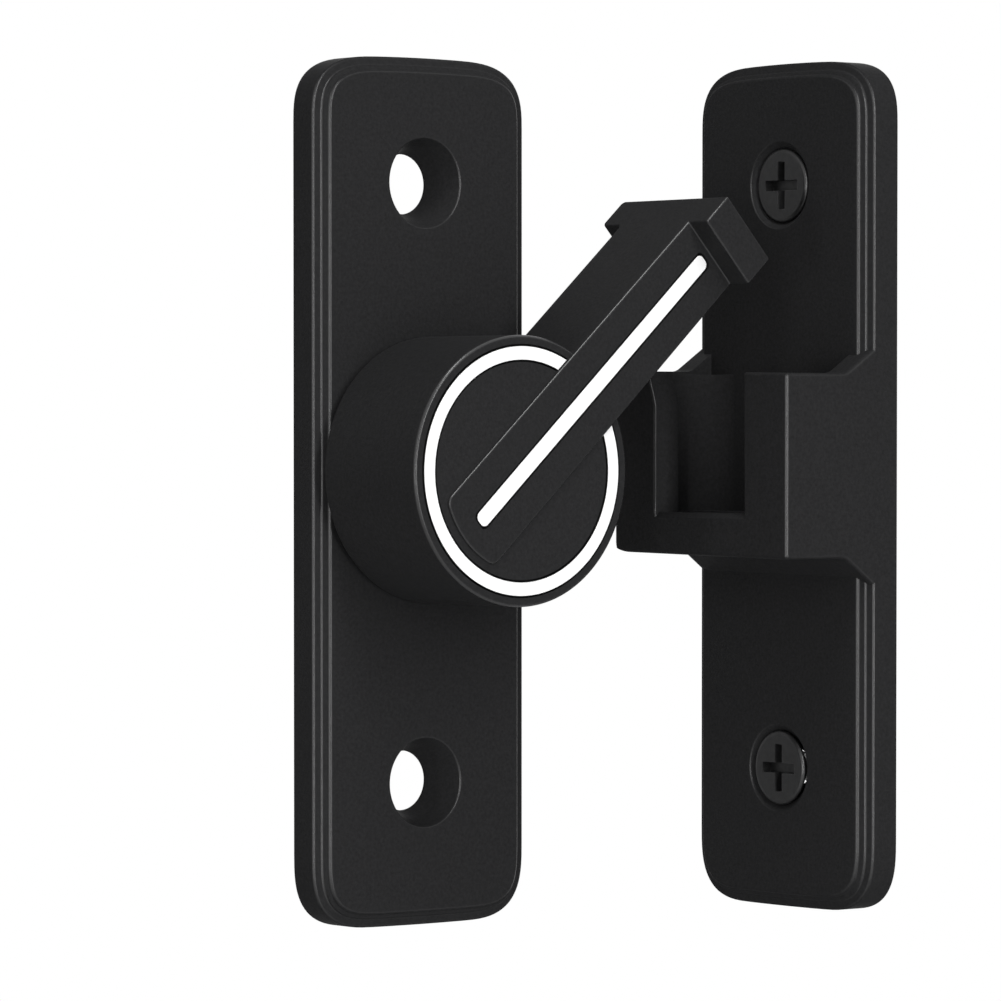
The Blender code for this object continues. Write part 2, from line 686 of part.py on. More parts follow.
def build_wave_washer(latch, material, parent):
    """A flat ring of sheet whose rows of points rise and fall as they go round."""
    steps = SMALL_STEPS
    inner, outer = SPIGOT_RADIUS + RUNNING_GAP, WASHER_RADIUS
    bm = bmesh.new()
    rings = []
    for radius in (inner, outer):
        ring = []
        for i in range(steps):
            angle = 2 * math.pi * i / steps
            height = WAVE_MIDDLE + WAVE_HEIGHT * math.cos(WAVE_COUNT * angle)
            ring.append(bm.verts.new((radius * math.cos(angle), radius * math.sin(angle),
                                      height)))
        rings.append(ring)
    for i in range(steps):
        j = (i + 1) % steps
        bm.faces.new((rings[0][i], rings[1][i], rings[1][j], rings[0][j]))
    mesh = bpy.data.meshes.new("wave_washer")
    bm.to_mesh(mesh)
    bm.free()
    washer = latch.part("wave_washer", mesh, material, parent)
    solid = washer.modifiers.new("sheet", "SOLIDIFY")
    solid.thickness = WAVE_SHEET
    solid.offset = 0.0


def cross_mesh(name, radius, top, depth, width, arm):
    """Two crossed wedges, shorter at the bottom, that cut a cross recess."""
    bm = bmesh.new()
    for turn in (0, 90):
        half, low = width / 2, width / 2 - depth * CROSS_DRAFT
        made = bmesh.ops.create_cube(bm, size=1.0)
        for vert in made["verts"]:
            deep = vert.co.z < 0
            vert.co.x = math.copysign(low if deep else half, vert.co.x)
            vert.co.y = math.copysign(arm / 2, vert.co.y)
            vert.co.z = top - depth if deep else top + radius
        bmesh.ops.rotate(bm, verts=made["verts"],
                         matrix=Matrix.Rotation(math.radians(turn), 3, "Z"))
    mesh = bpy.data.meshes.new(name)
    bm.to_mesh(mesh)
    bm.free()
    return mesh


def build_pivot_fasteners(latch, materials, parent):
    bore = PIVOT_SCREW_RADIUS + SCREW_CLEARANCE
    profile = [(bore, WASHER_FRONT), (WASHER_RADIUS, WASHER_FRONT),
               (WASHER_RADIUS, WASHER_BACK), (bore, WASHER_BACK)]
    latch.part("retaining_washer", turned("retaining_washer", profile), materials["zinc"],
               parent)
    front = WASHER_BACK - SEAT_GAP
    back = front - PIVOT_SCREW_HEAD_THICK
    end = front + PIVOT_SCREW_LENGTH
    edge = PIVOT_SCREW_HEAD_THICK / 3
    profile = [(0, end), (PIVOT_SCREW_RADIUS - edge, end),
               (PIVOT_SCREW_RADIUS, end - edge), (PIVOT_SCREW_RADIUS, front),
               (PIVOT_SCREW_HEAD, front), (PIVOT_SCREW_HEAD, back + edge),
               (PIVOT_SCREW_HEAD - edge, back), (0, back)]
    screw = latch.part("pivot_screw", turned("pivot_screw", profile), materials["zinc"],
                       parent)
    cross = cross_mesh("pivot_cross", OVERRUN, 0.0, PIVOT_SCREW_HEAD_THICK * 0.7,
                       PIVOT_SCREW_HEAD, CROSS_ARM)
    cross.transform(Matrix.Translation((0, 0, back)) @ Matrix.Rotation(math.pi, 4, "X"))
    build_cross(latch, screw, cross)


def build_cross(latch, screw, mesh):
    """Cuts the recess one wedge at a time, because the two wedges cross."""
    bm = bmesh.new()
    bm.from_mesh(mesh)
    half = len(bm.verts) // 2
    bm.verts.ensure_lookup_table()
    for first in (0, half):
        wedge = bm.copy()
        wedge.verts.ensure_lookup_table()
        other = [v for v in wedge.verts if not first <= v.index < first + half]
        bmesh.ops.delete(wedge, geom=other, context="VERTS")
        data = bpy.data.meshes.new(f"{mesh.name}_{'across' if first else 'along'}")
        wedge.to_mesh(data)
        wedge.free()
        latch.cut(screw, data)
    bm.free()


def build_detents(latch, materials, parent):
    """Two balls, each pressed to the plate by a coil spring in its pocket."""
    low = BALL_HEIGHT + BALL_RADIUS + SEAT_GAP + SPRING_WIRE
    high = RIB_BACK + POCKET_DEPTH - SEAT_GAP - SPRING_WIRE
    coil = BALL_RADIUS - SPRING_WIRE - SEAT_GAP / 2
    for i, angle in enumerate(BALL_ANGLES, 1):
        x, y = polar(TRACK_RADIUS, angle)
        name = f"detent_ball_{i}"
        bead = latch.part(name, ball(name, BALL_RADIUS, (x, y, BALL_HEIGHT), 20),
                          materials["zinc"], parent)
        shade_round(bead)
        curve = bpy.data.curves.new(f"detent_spring_{i}", "CURVE")
        curve.dimensions = "3D"
        curve.bevel_depth = SPRING_WIRE
        curve.bevel_resolution = 1
        curve.use_fill_caps = True
        per_turn = 12
        count = int(SPRING_TURNS * per_turn) + 1
        spline = curve.splines.new("POLY")
        spline.points.add(count - 1)
        for k, point in enumerate(spline.points):
            turn = 2 * math.pi * k / per_turn
            height = low + (high - low) * k / (count - 1)
            point.co = (x + coil * math.cos(turn), y + coil * math.sin(turn), height, 1.0)
        spring = new_object(f"detent_spring_{i}", curve, latch.parts, parent)
        curve.materials.append(materials["spring"])
        spring.data.use_path = False


def build_catch_screw(latch, name, height, material, parent):
    top = PLATE_THICK - SCREW_HEAD_SINK
    land = top - SCREW_HEAD_LAND
    neck = land - (SCREW_HEAD_RADIUS - SCREW_SHANK_RADIUS)
    tip = top - SCREW_LENGTH
    profile = [(0, top)]
    for across, down in arc((0, 0), 1.0, 90, 0, ROUND_STEPS):
        profile.append((SCREW_HEAD_RADIUS - SCREW_HEAD_ROUND * (1 - across),
                        land + SCREW_HEAD_LAND * down))
    profile += [(SCREW_SHANK_RADIUS, neck), (SCREW_SHANK_RADIUS, tip + SCREW_POINT), (0, tip)]
    screw = latch.part(name, turned(name, profile), material, parent)
    screw.location = (0, height, 0)
    cross = cross_mesh(name + "_cross", OVERRUN, top, CROSS_DEPTH, CROSS_WIDTH, CROSS_ARM)
    cross.transform(Matrix.Translation((0, height, 0)))
    build_cross(latch, screw, cross)


def main():
    clear_scene()
    latch = Latch()
    materials = {
        "black": new_material("powder_coat", POWDER_BLACK, 0.55, 0.0),
        "white": new_material("white_inlay", WHITE_PLASTIC, 0.5, 0.0),
        "zinc": new_material("zinc_plate", ZINC_PLATE, 0.35, 1.0),
        "spring": new_material("spring_steel", SPRING_STEEL, 0.3, 1.0),
        "nylon": new_material("nylon", NYLON, 0.5, 0.0),
        "screw": new_material("black_screw", BLACK_SCREW, 0.45, 0.6),
    }

    lock = latch.empty("lock_side", turn=(90, 0, 0))
    pivot = latch.empty("lever_pivot", turn=(0, 0, REST_ANGLE), parent=lock)
    catch = latch.empty("catch_side", (CATCH_BACK, -CATCH_MIDDLE, CATCH_LIFT), (90, 0, -90))

    build_lock_plate(latch, materials["black"], lock)
    build_bush(latch, materials["nylon"], lock)
    build_lever(latch, materials["black"], pivot)
    build_inlays(latch, materials["white"], pivot)
    build_wave_washer(latch, materials["spring"], pivot)
    build_pivot_fasteners(latch, materials, pivot)
    build_detents(latch, materials, pivot)
    build_catch_plate(latch, materials["black"], catch)
    build_catch_screw(latch, "catch_screw_upper", UPPER_HOLE, materials["screw"], catch)
    build_catch_screw(latch, "catch_screw_lower", LOWER_HOLE, materials["screw"], catch)


main()
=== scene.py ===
"""Barn door latch, dressed for its photograph.

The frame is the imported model: the origin lies on the knob's axis at the back of the lock
plate, +Y runs into the wall, +Z up, and +X from the lock plate towards the catch. Every
casting is modelled in plate coordinates, X across the plate, Y up it and Z out of the
wall, and is then turned to its place. All sizes are in metres.
"""

import math
from contextlib import contextmanager
import bmesh
import bpy
from bpy.props import FloatProperty, FloatVectorProperty, IntProperty, PointerProperty
from bpy.types import Operator, Panel, PropertyGroup
from mathutils import Matrix, Vector


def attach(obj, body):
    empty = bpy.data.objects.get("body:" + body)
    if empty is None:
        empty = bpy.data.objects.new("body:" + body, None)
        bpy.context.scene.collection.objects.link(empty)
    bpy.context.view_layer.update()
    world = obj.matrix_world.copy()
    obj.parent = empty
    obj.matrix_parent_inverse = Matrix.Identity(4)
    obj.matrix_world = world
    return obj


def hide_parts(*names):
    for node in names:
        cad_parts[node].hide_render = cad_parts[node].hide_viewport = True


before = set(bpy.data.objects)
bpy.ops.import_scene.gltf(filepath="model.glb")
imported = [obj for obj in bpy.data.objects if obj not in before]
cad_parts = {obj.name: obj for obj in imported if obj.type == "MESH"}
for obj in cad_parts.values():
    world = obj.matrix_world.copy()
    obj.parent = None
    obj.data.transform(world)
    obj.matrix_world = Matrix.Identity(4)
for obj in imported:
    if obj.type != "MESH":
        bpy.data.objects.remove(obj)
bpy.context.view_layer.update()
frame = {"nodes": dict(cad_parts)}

bl_info = {
    "name": "Barn Door Latch",
    "version": (1, 0, 0),
    "blender": (4, 5, 0),
    "location": "View3D > Sidebar > Latch",
    "description": "A flip latch for a sliding barn door, with its finishes and studio",
    "category": "Add Mesh",
}

BASE, LEVER = "base", "lever"
# The second mark picks the inlays' side faces, which are painted dark as the shade in their
# seams
WORN, SIDE_SHADE = "worn_edge", "glued"      # Marks on the faces that the finishes read
WEIGHT = "bevel_weight_edge"            # Blender's own name for a bevel's weights
OVER = 0.001                            # How far a tool reaches past what it cuts
HAIR = 0.00001                          # Slack where a place is compared
WELD = 1e-6                             # Points nearer than this are one
NARROW = 0.00022                        # Widest strip that counts as an edge's round
SHARP = math.radians(50)                # Sharper edges than this are rounded
LEVEL = math.radians(0.5)               # Faces that meet at less lie in one plane
SMOOTH = 32                             # Degrees up to which faces shade as one
MIDDLE = (0.016, -0.012, 0.0)           # The point that the lights look at


def length(name, description, default):
    return FloatProperty(name=name, description=description, default=default, min=0.0,
                         unit="LENGTH", precision=5)


def reach(name, description, default):
    return FloatVectorProperty(name=name, description=description, default=default,
                               size=2, min=0.0, unit="LENGTH", precision=5)


def colour(name, description, default):
    return FloatVectorProperty(name=name, description=description, default=default,
                               subtype="COLOR", size=4, min=0.0, max=1.0)


def bearing(name, description, default):
    return FloatProperty(name=name, description=description,
                         default=math.radians(default), subtype="ANGLE")


def share(name, description, default):
    return FloatProperty(name=name, description=description, default=default, min=0.0,
                         max=1.0, subtype="FACTOR")


class PlateSizes(PropertyGroup):
    """The stepped plate that both halves of the latch are cast on."""

    width: length("Width", "Across the plate", 0.0292)
    above: length("Above", "Pivot's height to the top edge", 0.0451)
    below: length("Below", "Pivot's height to the bottom edge", 0.04995)
    thick: length("Thickness", "Back to the raised face", 0.00455)
    side: length("Side height", "Back to the outer ledge", 0.0035)
    ledge: length("Ledge", "Width of the ledge round the raised face", 0.00105)
    ledge_rise: length("Ledge rise", "Climb of the ledge towards the step", 0.0002)
    draft: length("Draft", "How far the step's wall leans in", 0.0004)
    edge_round: length("Edge round", "Round on the outer edge", 0.00028)
    foot_round: length("Foot round", "Hollow round at the foot of the step", 0.00025)
    face_round: length("Face round", "Round on the raised face's edge", 0.0004)
    top_corner: reach("Top corners", "Reach across and down", (0.0090, 0.0070))
    low_corner: reach("Low corners", "Reach across and up", (0.0084, 0.0081))
    power: FloatProperty(name="Corner power", default=3.0, min=2.0,
                         description="Two is an ellipse, and more is squarer")
    top_crown: length("Top crown", "Rise of the top edge at its middle", 0.00044)
    low_crown: length("Low crown", "Drop of the bottom edge at its middle", 0.0002)
    holes: reach("Holes", "Heights above and below the pivot", (0.0314, 0.03425))
    lock_hole: length("Lock hole", "Radius of the lock plate's screw holes", 0.0033)
    catch_hole: length("Catch hole", "Radius of the catch plate's screw holes", 0.0021)
    rim: length("Rim", "Radius of the countersink at the face", 0.0049)
    lock_sink: length("Lock countersink", "Depth of the lock plate's cones", 0.0040)
    catch_sink: length("Catch countersink", "Depth of the catch plate's cones", 0.0030)
    sink_round: length("Countersink round", "Round on the countersink's rim", 0.00025)
    bore: length("Pivot bore", "Radius of the bush's hole", 0.0052)
    recess: length("Recess", "Radius of the recess in the back", 0.0076)
    web: length("Web", "Metal left in front of the recess", 0.0015)


class CatchSizes(PropertyGroup):
    """The T-slotted block on the catch plate."""

    back: length("Stand-off", "Knob's axis to the catch plate's back", 0.0465)
    middle: length("Middle", "Wall to the middle of the catch plate", 0.0156)
    lift: length("Lift", "How much higher the catch hangs", 0.0005)
    front: length("Front", "Back of the plate to the block's face", 0.01645)
    top: length("Top", "Height of the block's top", 0.01015)
    bottom: length("Bottom", "Depth of the block's underside", 0.0103)
    far_rise: length("Far rise", "How much higher the block is next to the wall", 0.0004)
    gusset: length("Gusset reach", "Back of the plate to the gussets' start", 0.0076)
    gusset_rise: length("Gusset rise", "How far the gussets climb the plate", 0.0027)
    foot_drop: length("Foot drop", "How far the underside slopes down", 0.0030)
    turn: length("Gusset round", "Hollow round where the gussets leave", 0.0022)
    round: length("Edge round", "Round on the block's edges", 0.0004)
    mouth_round: length("Mouth round", "Round on the slot's upright edges", 0.00025)
    far_round: length("Far round", "Round on the lower edge next to the wall", 0.0022)
    slot: length("Slot", "Width between the lips", 0.0151)
    wall: length("Side wall", "Wall beside the chamber", 0.0030)
    lip: length("Lip", "Thickness of the lips", 0.0035)
    floor: length("Floor", "Depth of the slot's floor", 0.00535)
    flare: length("Mouth flare", "How far the lip next to the wall leans out", 0.0010)
    flare_depth: length("Mouth depth", "Height of the flared mouth", 0.0036)
    lead: length("Lead-in", "Bevel behind the lips and at the floor", 0.0008)
    corner: length("Corner", "Hollow round in the chamber's far corner", 0.0042)


class KnobSizes(PropertyGroup):
    """The knob, its arm and the T head, one casting."""

    rest: bearing("Rest angle", "Arm above level, as stored", 42.2)
    radius: length("Radius", "Knob's radius", 0.0146)
    back: length("Back", "Wall to the knob's rim", 0.00535)
    face: length("Face", "Wall to the knob's face", 0.0214)
    edge: length("Edge", "Round on the face's edge", 0.00035)
    back_edge: length("Back edge", "Round on the rim", 0.0005)
    wall: length("Wall", "Wall of the cup", 0.0022)
    cover: length("Cover", "Metal behind the face", 0.0030)
    hub: length("Hub", "Radius of the hub", 0.0060)
    shoulder: length("Shoulder", "Wall to the hub's shoulder", 0.00565)
    spigot: length("Spigot", "Radius of the spigot", 0.0040)
    spigot_end: length("Spigot end", "Wall to the spigot's end", 0.00245)
    pilot: length("Pilot", "Radius of the screw's hole", 0.0022)
    pilot_end: length("Pilot end", "Wall to the bottom of the screw's hole", 0.01395)
    bar_lift: length("Bar lift", "Bar's face above the knob's face", 0.00035)
    bar_start: length("Bar start", "Radius of the bar's round end, about the axis", 0.01085)
    bar_wide: length("Bar at the knob", "Width where the bar starts", 0.0095)
    bar_narrow: length("Bar at the head", "Width where the bar meets the head", 0.0091)
    bar_corner: length("Bar corner", "Radius of the bar's two corners", 0.0012)
    arm_back: length("Arm back", "Wall to the arm's rear face", 0.0102)
    head_start: length("Head start", "Axis to the head's inner face", 0.03545)
    head_end: length("Head end", "Axis to the head's outer face", 0.0396)
    head_front: length("Head front", "Wall to the head's front", 0.0248)
    head_back: length("Head back", "Wall to the head's back", 0.0069)
    back_round: length("Head's back round", "Round on the head's back edges", 0.0006)
    back_foot: length("Back foot", "Hollow round behind the arm", 0.0007)
    arm_edge: length("Arm edge", "Round on the arm's sharp edges", 0.0002)


class InlaySizes(PropertyGroup):
    """The white ring and stripe, and the grooves that they sit in."""

    inner: length("Ring inside", "Inner radius of the groove", 0.01171)
    outer: length("Ring outside", "Outer radius of the groove", 0.01362)
    start: length("Stripe start", "Stripe's end behind the axis", 0.00839)
    end: length("Stripe end", "Axis to the stripe's far end", 0.03469)
    width: length("Stripe width", "Width of the groove", 0.00226)
    end_round: length("Stripe corners", "Radius of the stripe's corners", 0.0007)
    depth: length("Depth", "Depth of the grooves", 0.0010)
    sink: length("Sink", "How far the stripe lies below the metal", 0.0001)
    rise: length("Rise", "How far the ring stands proud of the metal", 0.00005)
    gap: length("Gap", "Seam beside the inlays", 0.00024)
    margin: length("Margin", "Metal between the ring's ends and the bar", 0.00005)


class TrackSizes(PropertyGroup):
    """The stop and the spring-loaded balls inside the knob."""

    radius: length("Track", "Radius of the track", 0.0092)
    lug: length("Lug", "Radius of the stop lug", 0.0013)
    lug_top: length("Lug top", "Wall to the lug's top", 0.00755)
    rib: length("Rib", "Thickness of the two ribs", 0.0016)
    rib_back: length("Rib back", "Wall to the ribs and bosses", 0.00595)
    stop_gap: length("Stop gap", "Gap from lug to rib at a limit", 0.0003)
    boss: length("Boss", "Radius of a ball's boss", 0.0033)
    pocket: length("Pocket", "Radius of a ball's pocket", 0.00225)
    pocket_end: length("Pocket end", "Wall to the pocket's bottom", 0.01395)
    dimple: length("Dimple", "Radius of a dimple's ball", 0.0023)
    dimple_depth: length("Dimple depth", "Depth of a dimple", 0.0005)
    wire: length("Wire", "Radius of the spring's wire", 0.00025)
    coil: length("Coil", "Radius of the coil's middle line", 0.00165)
    low: length("Spring start", "Wall to the spring's near end", 0.0093)
    high: length("Spring end", "Wall to the spring's far end", 0.0135)
    turns: FloatProperty(name="Turns", description="Turns of the spring", default=4.5)


class ScrewSizes(PropertyGroup):
    """The countersunk wood screws in the catch."""

    head: length("Head", "Radius of the head", 0.0042)
    head_sink: length("Head sink", "How far the head lies below the face", 0.0003)
    lower_rise: length("Lower rise", "How much higher the lower head lies", 0.0003)
    land: length("Land", "Height of the head's rounded rim", 0.00042)
    round: length("Rim round", "Width of the head's rounded rim", 0.0006)
    shank: length("Shank", "Radius over the thread", 0.0020)
    core: length("Core", "Radius under the thread", 0.00145)
    length: length("Length", "Head to tip", 0.0160)
    point: length("Point", "Length of the tapered tip", 0.0030)
    pitch: length("Pitch", "Rise of the thread in one turn", 0.0018)
    cross: length("Cross", "Width over the cross recess", 0.0056)
    cross_arm: length("Cross arm", "Width of one arm", 0.00115)
    cross_depth: length("Cross depth", "Depth of the cross recess", 0.0011)


class FinishLooks(PropertyGroup):
    """Colours and grain of the latch's finishes."""

    black: colour("Powder coat", "Colour of the castings", (0.0225, 0.0225, 0.0232, 1))
    grain: length("Grain", "Size of the coat's texture", 0.00022)
    relief: length("Relief", "Height of the coat's texture", 0.000022)
    black_rough: share("Coat roughness", "Roughness of the powder coat", 0.42)
    rubbed: share("Rubbed edges", "Gloss that handling leaves on the edges", 0.9)
    soft_edge: length("Soft edge", "Coat's round over sharp edges", 0.00012)
    white: colour("Inlay", "Colour of the inlays", (0.96, 0.96, 0.96, 1))
    # Near black painted on the inlays' sides as the shade in their seams
    gap_shade: colour("Gap shade", "Colour of the glue beside the inlays", (0.01, 0.01, 0.01, 1))
    screw: colour("Screw", "Colour of the blackened screws", (0.022, 0.022, 0.0225, 1))
    zinc: colour("Zinc", "Colour of the plated parts", (0.55, 0.56, 0.58, 1))
    steel: colour("Spring steel", "Colour of springs and washer", (0.42, 0.43, 0.45, 1))
    nylon: colour("Nylon", "Colour of the bush", (0.80, 0.79, 0.74, 1))


class StudioLooks(PropertyGroup):
    """Where the camera and the floor stand, and how bright it is around them."""

    turn: bearing("Turn", "Camera's turn round the latch", 38.857)
    pitch: bearing("Pitch", "Camera's tilt down", 1.738)
    right: FloatProperty(name="Right", description="Origin's place right of the axis",
                         default=-0.011080, unit="LENGTH", precision=5)
    up: FloatProperty(name="Up", description="Origin's place above the axis",
                      default=0.013611, unit="LENGTH", precision=5)
    distance: length("Distance", "Camera to the origin", 0.611313)
    focal: FloatProperty(name="Focal length", description="Lens in pixels of the frame",
                         default=5548.817)
    horizon: FloatProperty(name="Axis row", description="Picture row of the lens axis",
                           default=593.404)
    frame: IntProperty(name="Frame", description="Picture's width in pixels", default=1001)
    floor: length("Floor", "How far the floor lies below the origin", 0.120)
    floor_radius: length("Floor radius", "Middle of the floor to its edge", 0.45)
    ambient: share("Ambient", "How much the white surroundings light", 0.15)


GROUPS = {"latch_plate": PlateSizes, "latch_catch": CatchSizes, "latch_knob": KnobSizes,
          "latch_inlay": InlaySizes, "latch_track": TrackSizes, "latch_screw": ScrewSizes,
          "latch_finish": FinishLooks, "latch_studio": StudioLooks}


# Places: plate coordinates to the latch's own frame

def lock_place():
    return Matrix.Rotation(math.pi / 2, 4, "X")


def lever_place(knob):
    return lock_place() @ Matrix.Rotation(knob.rest, 4, "Z")


def catch_place(catch):
    stand = Matrix.Translation((catch.back, -catch.middle, catch.lift))
    return stand @ Matrix.Rotation(-math.pi / 2, 4, "Z") @ lock_place()


# Modelling tools

def arc(centre, radius, start, end, steps):
    """Points of an arc, in degrees from the first axis towards the second."""
    points = []
    for i in range(steps + 1):
        angle = math.radians(start + (end - start) * i / steps)
        points.append((centre[0] + radius * math.cos(angle),
                       centre[1] + radius * math.sin(angle)))
    return points


def polar(radius, degrees):
    angle = math.radians(degrees)
    return radius * math.cos(angle), radius * math.sin(angle)


def bench_object(name, data):
    obj = bpy.data.objects.new(name, data)
    bpy.context.scene.collection.objects.link(obj)
    return obj


def settle(obj, *tools):
    """The mesh that an object's modifiers make. The object and its tools are removed."""
    bpy.context.view_layer.update()
    graph = bpy.context.evaluated_depsgraph_get()
    mesh = bpy.data.meshes.new_from_object(obj.evaluated_get(graph))
    for used in (obj, *tools):
        bpy.data.objects.remove(used, do_unlink=True)
    return mesh


@contextmanager
def edited(mesh):
    """The mesh in editable form, stored again at the end."""
    bm = bmesh.new()
    bm.from_mesh(mesh)
    yield bm
    bm.to_mesh(mesh)
    bm.free()


def weld(mesh):
    with edited(mesh) as bm:
        bmesh.ops.remove_doubles(bm, verts=bm.verts, dist=WELD)
    return mesh


def mesh_from(bm, name):
    mesh = bpy.data.meshes.new(name)
    bm.to_mesh(mesh)
    bm.free()
    return mesh


def slab(name, outline, low, high, plane="XY"):
    """A flat outline in one plane, thickened from low to high across it."""
    curve = bpy.data.curves.new(name, "CURVE")
    curve.dimensions = "2D"
    curve.fill_mode = "BOTH"
    curve.extrude = (high - low) / 2
    spline = curve.splines.new("POLY")
    spline.points.add(len(outline) - 1)
    for point, (a, b) in zip(spline.points, outline):
        point.co = (a, b, 0.0, 1.0)
    spline.use_cyclic_u = True
    mesh = weld(settle(bench_object(name, curve)))
    mesh.transform(Matrix.Translation((0, 0, (high + low) / 2)))
    turns = {"XY": Matrix.Identity(4),
             "YZ": Matrix(((0, 0, 1, 0), (1, 0, 0, 0), (0, 1, 0, 0), (0, 0, 0, 1))),
             "ZX": Matrix(((0, 1, 0, 0), (0, 0, 1, 0), (1, 0, 0, 0), (0, 0, 0, 1)))}
    mesh.transform(turns[plane])
    return mesh


def turned(name, profile, steps=96):
    """A profile of (radius, height), run down its outer side, turned round Z."""
    bm = bmesh.new()
    points = [bm.verts.new((radius, 0.0, height)) for radius, height in profile]
    for first, second in zip(points, points[1:]):
        bm.edges.new((first, second))
    if profile[0][0] > 0 or profile[-1][0] > 0:
        bm.edges.new((points[-1], points[0]))
    obj = bench_object(name, mesh_from(bm, name))
    screw = obj.modifiers.new("turn", "SCREW")
    screw.steps = screw.render_steps = steps
    screw.use_merge_vertices = True
    screw.merge_threshold = WELD
    return weld(settle(obj))


def cylinder(name, radius, low, high, at=(0.0, 0.0), steps=64):
    bm = bmesh.new()
    place = Matrix.Translation((at[0], at[1], (low + high) / 2))
    bmesh.ops.create_cone(bm, cap_ends=True, segments=steps, radius1=radius,
                          radius2=radius, depth=high - low, matrix=place)
    return mesh_from(bm, name)


def ball(name, radius, at, steps=48):
    bm = bmesh.new()
    bmesh.ops.create_uvsphere(bm, u_segments=steps, v_segments=steps // 2,
                              radius=radius, matrix=Matrix.Translation(at))
    return mesh_from(bm, name)


class Workpiece:
    """A mesh on the bench, and the tools that join it, cut it or trim it."""

    def __init__(self, name, mesh):
        self.obj = bench_object(name, mesh)
        self.tools = []

    def apply(self, operation, meshes):
        for mesh in meshes:
            self.tools.append(bench_object(mesh.name, mesh))
            boolean = self.obj.modifiers.new(mesh.name, "BOOLEAN")
            boolean.operation, boolean.solver = operation, "EXACT"
            boolean.object = self.tools[-1]

    def join(self, *meshes):
        self.apply("UNION", meshes)

    def cut(self, *meshes):
        self.apply("DIFFERENCE", meshes)

    def trim(self, *meshes):
        self.apply("INTERSECT", meshes)

    def ease(self, width, segments=3, limit="WEIGHT"):
        bevel = self.obj.modifiers.new("edges", "BEVEL")
        bevel.width, bevel.segments = width, segments
        bevel.limit_method, bevel.angle_limit = limit, SHARP
        bevel.use_clamp_overlap = False

    def mesh(self):
        return weld(settle(self.obj, *self.tools))


def join_flats(bm, degrees):
    """Joins the faces that lie in one plane, so that flat faces shade flat."""
    bmesh.ops.dissolve_limit(bm, angle_limit=math.radians(degrees), verts=bm.verts,
                             edges=bm.edges)


def mark_rounds(mesh, slanting):
    """Stores how rubbed each face is: the narrow strips that round the front edges,
    and on a piece that stands upright only those of its upright edges."""
    with edited(mesh) as bm:
        layer = bm.faces.layers.float.new(WORN)
        for face in bm.faces:
            longest = max(edge.calc_length() for edge in face.edges)
            if face.calc_area() > NARROW * longest or any(
                    edge.calc_length() > longest / 2
                    and edge.calc_face_angle(0.0) < LEVEL for edge in face.edges):
                continue
            front, level = -face.normal.y, 0.0 if slanting else abs(face.normal.z)
            face[layer] = max(0.0, min(1.0, 2 * front, 8 * (1 - front), 1.5 - 3 * level))


def mark_sides(mesh):
    """Stores which faces of an inlay look sideways, which its material paints near black as
    painted shade in the seam.
    """
    layer = mesh.attributes.new(SIDE_SHADE, "FLOAT", "FACE")
    for face in mesh.polygons:
        layer.data[face.index].value = float(abs(face.normal.y) < 0.5)


def even_faces(mesh, angle):
    """Smooth shading between sharp edges, with flat faces kept flat."""
    with edited(mesh) as bm:
        join_flats(bm, 0.03)
    mesh.shade_smooth()
    mesh.set_sharp_from_angle(angle=math.radians(angle))
    obj = bench_object(mesh.name, mesh)
    normals = obj.modifiers.new("normals", "WEIGHTED_NORMAL")
    normals.keep_sharp = True
    normals.weight = 100
    return settle(obj)


def finish_piece(name, mesh, place, body, nodes, material, smooth=SMOOTH):
    """Puts a settled mesh in its place as a piece that stands for its CAD nodes."""
    mesh = even_faces(mesh, smooth)
    mesh.name = name
    mesh.transform(place)
    mark_rounds(mesh, body == LEVER)
    mesh.materials.clear()
    mesh.materials.append(material)
    obj = bench_object(name, mesh)
    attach(obj, body)
    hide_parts(*nodes)
    return obj


# Node trees for materials

class Tree:
    """A node tree, and a way to add nodes to it."""

    def __init__(self, tree):
        self.tree = tree

    def node(self, kind, values=None, **settings):
        """Adds a node, sets or links its inputs, and returns its outputs."""
        made = self.tree.nodes.new(kind)
        for key, value in settings.items():
            setattr(made, key, value)
        for socket, value in (values or {}).items():
            self.feed(made, socket, value)
        return made.outputs

    def feed(self, node, socket, value):
        if isinstance(value, bpy.types.NodeSocket):
            self.tree.links.new(value, node.inputs[socket])
        else:
            node.inputs[socket].default_value = value


